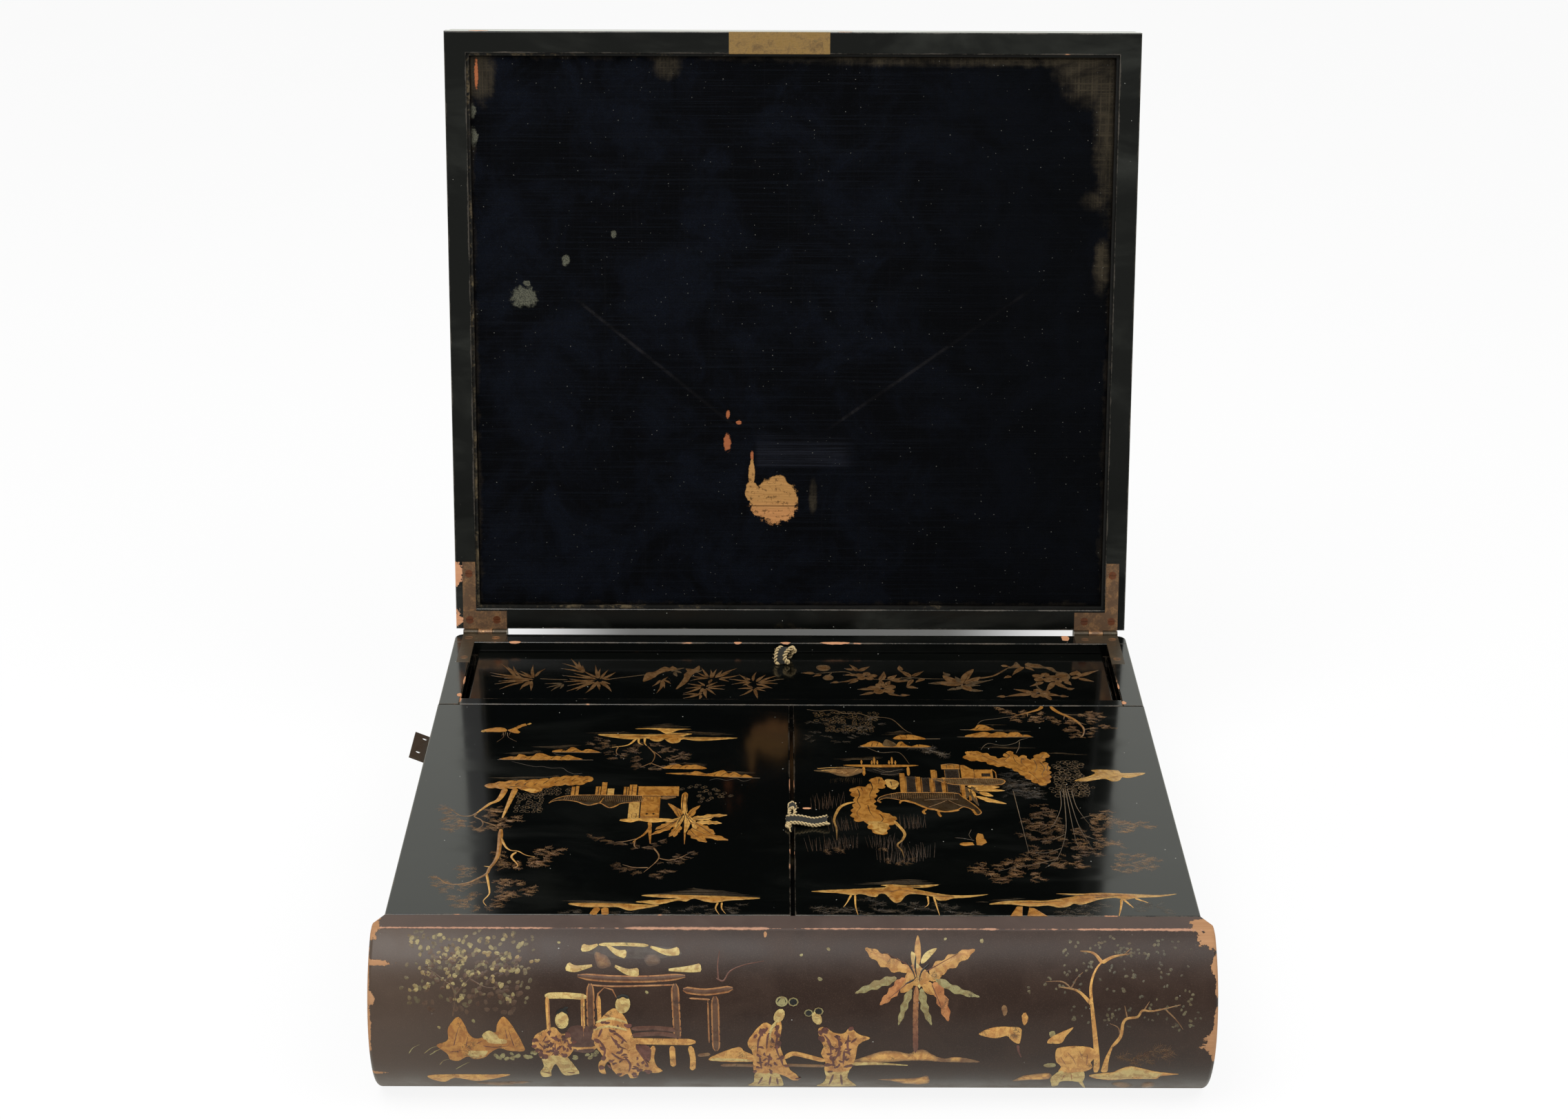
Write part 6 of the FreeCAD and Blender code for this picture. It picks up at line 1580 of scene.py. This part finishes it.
def silk_finish():
    """Cream silk strands, browned in patches."""
    net = Finish("cream silk cord")
    place = net.place()
    fibres = net.cloud(place, 2600, 3, 0.65)
    soiled = net.cloud(place, 700, 3, 0.6)
    skin = net.mix(net.span(fibres, 0.35, 0.7), rgb(176, 148, 98), rgb(216, 196, 148))
    net.coat("Base Color", net.mix(net.span(soiled, 0.54, 0.7, 0, 0.6), skin, rgb(132, 98, 60)))
    net.coat("Roughness", net.span(fibres, 0.3, 0.7, 0.55, 0.8))
    net.bump(fibres, 0.0002, 0.6)
    net.coat("Sheen Weight", 0.15)
    return net.made


TWIST = make_twist()
RIBBON = ribbon_finish()
SILK = silk_finish()


def cords(paths, spread, strand, pitch=3.8):
    """Twisted cords along paths in mm, as points and faces."""
    mesh = bpy.data.meshes.new("cord lines")
    points, edges = [], []
    for path in paths:
        edges += [(len(points) + i, len(points) + i + 1) for i in range(len(path) - 1)]
        points += path
    mesh.from_pydata(points, edges, [])
    lines = bpy.data.objects.new("cord lines", mesh)
    bpy.context.scene.collection.objects.link(lines)
    made = run_tree(lines, TWIST, {"Spread": spread, "Pitch": pitch, "Strand": strand, "Silk": SILK})
    return [tuple(vertex.co) for vertex in made.vertices], [tuple(face.vertices) for face in made.polygons]


def ribbon(name, node, body, near, far, skip, twists, loose=()):
    """A flat pull: a ribbed ribbon between two edge lines, a twisted cord along each, and loose ends."""
    rows = eased_line([a + b for a, b in zip(near, far)], 0.8)
    columns, depth = 6, 0.4
    line = 2 * columns + 2
    ring = list(range(columns + 1)) + list(range(line - 1, columns, -1))
    points, faces, along, gone = [], [], [], 0
    for i, row in enumerate(rows):
        before, after = rows[max(i - 1, 0)], rows[min(i + 1, len(rows) - 1)]
        run = Vector(after[:3]) + Vector(after[3:]) - Vector(before[:3]) - Vector(before[3:])
        across = Vector(row[3:]) - Vector(row[:3])
        out = run.cross(across).normalized() * depth
        gone += run.length / 4
        for side in (out, -out):
            points += [tuple(Vector(row[:3]) + across * (k / columns) + side) for k in range(columns + 1)]
            along += [gone] * (columns + 1)
        if i:
            at_row = i * line
            faces += [(at_row - line + b, at_row - line + a, at_row + a, at_row + b)
                      for a, b in zip(ring, ring[1:] + ring[:1])]
    faces += [tuple(ring), tuple(len(points) - line + k for k in reversed(ring))]
    plain = len(faces)
    made = [cords([eased_line(path[skip:], 0.8)], *twist) for path, twist in zip((near, far), twists)]
    made += [cords([eased_line(at(path, 3), 0.5)], *twist) for path, *twist in loose]
    for more, sides in made:
        faces += [tuple(len(points) + k for k in face) for face in sides]
        points += more
    obj = mesh_object(name, [(x * MM, y * MM, z * MM) for x, y, z in points], faces, RIBBON, body)
    obj.data.materials.append(SILK)
    for k, face in enumerate(obj.data.polygons):
        face.material_index = int(k >= plain)
        face.use_smooth = k >= plain and len(face.vertices) < 5
    along += [0] * (len(points) - len(along))
    obj.data.attributes.new("along", "FLOAT", "POINT").data.foreach_set("value", along)
    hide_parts(node)


# the pull that lies on the right flap, out of the seam and over to the right
profile = at("0.1 87.6 0 2.7 -1.4 0.9 -1.6 0.3 0.4 0.8 2 0.42 3.7 -0.02 3.8 -0.7 4 -0.8 4 0.6 3.2 0.85")
ribbon("right_flap_pull", "right_flap_tab", "right_flap",
       [(x, -77.1, z) for x, z in profile], [(x, -69.5, z) for x, z in profile], 2, ((0.6, 0.48), (0.55, 0.45)),
       (("-.8 -77.8 91.2 -1.2 -1.4 .1 -1 1 .3 1 .8 .6 1.2 -1.2 -.5", 0.4, 0.5),
        ("-1 -79 91.2 -.2 -1.6 -.4 .4 -2 -.4", 0.2, 0.28), ("17.6 -77 92.4 1.2 -.8 -.2 .4 1 .2", 0.3, 0.4),
        ("-1.6 -78.8 91.2 -.8 -1.6 -.6", 0.0, 0.14), ("18 -69.6 92.4 1 .7 -.2", 0.0, 0.14)))
# the pull that stands out of the seam beside it
arch = at("-.3 -65.4 88 -.7 0 3.05 -.4 2 .65 .3 2 .8 1.3 1 .3 1.2 -.8 -.3 .2 -2 -.8 -.5 -2 -.65", 3)
ribbon("left_flap_pull", "left_flap_tab", "left_flap", arch, [(x * 1.1, y + 6.2, z) for x, y, z in arch], 1,
       ((0.58, 0.48), (0.5, 0.42)),
       (("1.4 -61 92.4 1.4 2 -.2 .6 .6 -.4", 0.0, 0.3), ("-1.4 -65.6 91.2 -.4 -1.6 -.6", 0.0, 0.16)))
# the folded loop that lifts the strip lid
ribbon("strip_lid_pull", "strip_lid_loop", "strip_lid",
       at("-8.6 140.6 84.5 -.3 .3 2.9 .3 1.1 2.6 .7 1.6 2 1.7 2 .6 1.2 1.8 -1.4 -.4 .8 -2.8 -.6 -.4 -3.6", 3),
       at("-1.8 140.4 84.5 -1.7 .4 2.9 .2 1.4 2.3 1.7 1.6 1.7 2.2 1.8 1 .9 1.6 -1.4 -1.1 .8 -2.8 -1.2 -.2 -3.4", 3),
       0, ((0.68, 0.54), (0.85, 0.6)),
       (("-3.4 140.2 86.6 1.8 -.6 .3 .4 .2 -1.9", 0.45, 0.5),
        (".6 145.4 92 1.8 .4 -.8 -.2 .4 -1.8 -1.6 -.4 -.4", 0.6, 0.6),
        ("-8.4 140.2 85 1.6 -.8 -.3", 0.4, 0.5), ("-8.8 141.4 89 -1.6 0 1.4", 0.0, 0.16),
        ("-9 140.8 87 -1.8 -.2 1.2", 0.0, 0.16), ("-8.2 143 91.4 -1.4 .4 1.4", 0.0, 0.14),
        ("2 145.8 91 1.4 -.2 -1", 0.0, 0.14)))


# ---------------------------------------------------------------- camera, floor and light

def camera():
    data = bpy.data.cameras.new("camera")
    data.sensor_width = 36
    data.lens = 4220.4 / 2275 * data.sensor_width
    data.clip_end = 50
    obj = bpy.data.objects.new("camera", data)
    yaw, pitch, roll = (math.radians(a) for a in (0.166, 22.412, -0.2395))
    forward = Vector((math.sin(yaw) * math.cos(pitch), math.cos(yaw) * math.cos(pitch), -math.sin(pitch)))
    right = Vector((math.cos(yaw), -math.sin(yaw), 0))
    down = forward.cross(right)
    level, fall = math.cos(roll), math.sin(roll)
    right, down = level * right + fall * down, level * down - fall * right
    matrix = obj.matrix_world.to_3x3()
    matrix.col[0], matrix.col[1], matrix.col[2] = right, -down, -forward
    obj.matrix_world = matrix.to_4x4()
    obj.location = (-0.0087, -1.4213, 0.795)
    bpy.context.scene.collection.objects.link(obj)
    bpy.context.scene.camera = obj


WHITE = (1, 1, 1, 1)
MIRRORED = (0.98, 1, 0.92, 1)


def floor():
    """A white floor that still takes a soft shadow, with a shadow also painted into its colour behind the box; far
    in front it falls to the dark of the room.
    """
    net = Finish("white floor")
    place = net.place()
    net.coat("Roughness", 0.8)
    net.coat("Specular IOR Level", 0.1)
    path = net.add("ShaderNodeLightPath").outputs
    mirrored = net.most(path["Is Glossy Ray"], path["Is Transmission Ray"])
    x, y, _ = net.parts(place)
    near = net.mix(1, net.span(y, -0.75, -0.34, 0.16, 1), MIRRORED, "MULTIPLY")
    white = net.add("ShaderNodeEmission", {"Color": net.mix(mirrored, WHITE, near)})
    # the patch behind the box: its white glow is taken away so the real shade shows there
    behind = net.times(net.span(y, 0.02, 0.1), net.fall(y, 0.4, 0.48))
    behind = net.times(behind, net.fall(net.size(x), 0.1, 0.23))
    lit = net.times_plus(behind, -0.88, 0.89)
    plain = net.mix(net.span(net.cloud(place, 3, 2), 0.3, 0.7), (0.94, 0.94, 0.94, 1), (0.97, 0.97, 0.97, 1))
    # painted shadow: the floor's colour is darkened behind the box
    net.coat("Base Color", net.mix(net.times(behind, 0.85), plain, (0.12, 0.12, 0.11, 1)))
    share = net.most(net.times(path["Is Camera Ray"], lit), mirrored)
    net.feed(net.output.inputs["Surface"], net.add("ShaderNodeMixShader", {0: share, 1: net.shader, 2: white}))
    points = [(-6, -6, 0), (6, -6, 0), (6, 6, 0), (-6, 6, 0)]
    obj = mesh_object("floor", points, [(0, 1, 2, 3)], net.made)


def lamp(name, place, aim, size, power):
    data = bpy.data.lights.new(name, "AREA")
    data.shape = "RECTANGLE"
    data.size, data.size_y = size
    data.energy = power
    obj = bpy.data.objects.new(name, data)
    obj.location = place
    obj.rotation_euler = (Vector(aim) - Vector(place)).to_track_quat("-Z", "Y").to_euler()
    bpy.context.scene.collection.objects.link(obj)


def world():
    """Even soft light; mirrored in gloss, the room is white but for a dark part in front."""
    made = bpy.data.worlds.new("studio")
    made.use_nodes = True
    made.node_tree.nodes.clear()
    net = Net(made.node_tree)
    path = net.add("ShaderNodeLightPath").outputs
    _, y, z = net.parts(net.add("ShaderNodeTexCoord").outputs["Generated"])
    front = net.times(net.fall(y, -0.5, -0.1), net.fall(z, 0.62, 0.86))
    room = net.times_plus(front, -0.74, 1)
    mirrored = net.most(path["Is Glossy Ray"], path["Is Transmission Ray"])
    seen = net.most(path["Is Camera Ray"], mirrored)
    soft = net.add("ShaderNodeBackground", {"Color": WHITE, "Strength": 0.5})
    shown = net.mix(mirrored, WHITE, net.mix(1, room, MIRRORED, "MULTIPLY"))
    white = net.add("ShaderNodeBackground", {"Color": shown, "Strength": 1})
    mixed = net.add("ShaderNodeMixShader", {0: seen, 1: soft, 2: white})
    net.add("ShaderNodeOutputWorld", {"Surface": mixed})
    bpy.context.scene.world = made


camera()
floor()
world()
lamp("key softbox", (-0.7, -0.9, 2.1), (0, 0, 0.1), (1.4, 1.4), 32)
lamp("fill softbox", (1.1, -0.8, 1.9), (0, 0, 0.1), (1.2, 1.2), 16)
bpy.context.scene.view_settings.view_transform = "Standard"
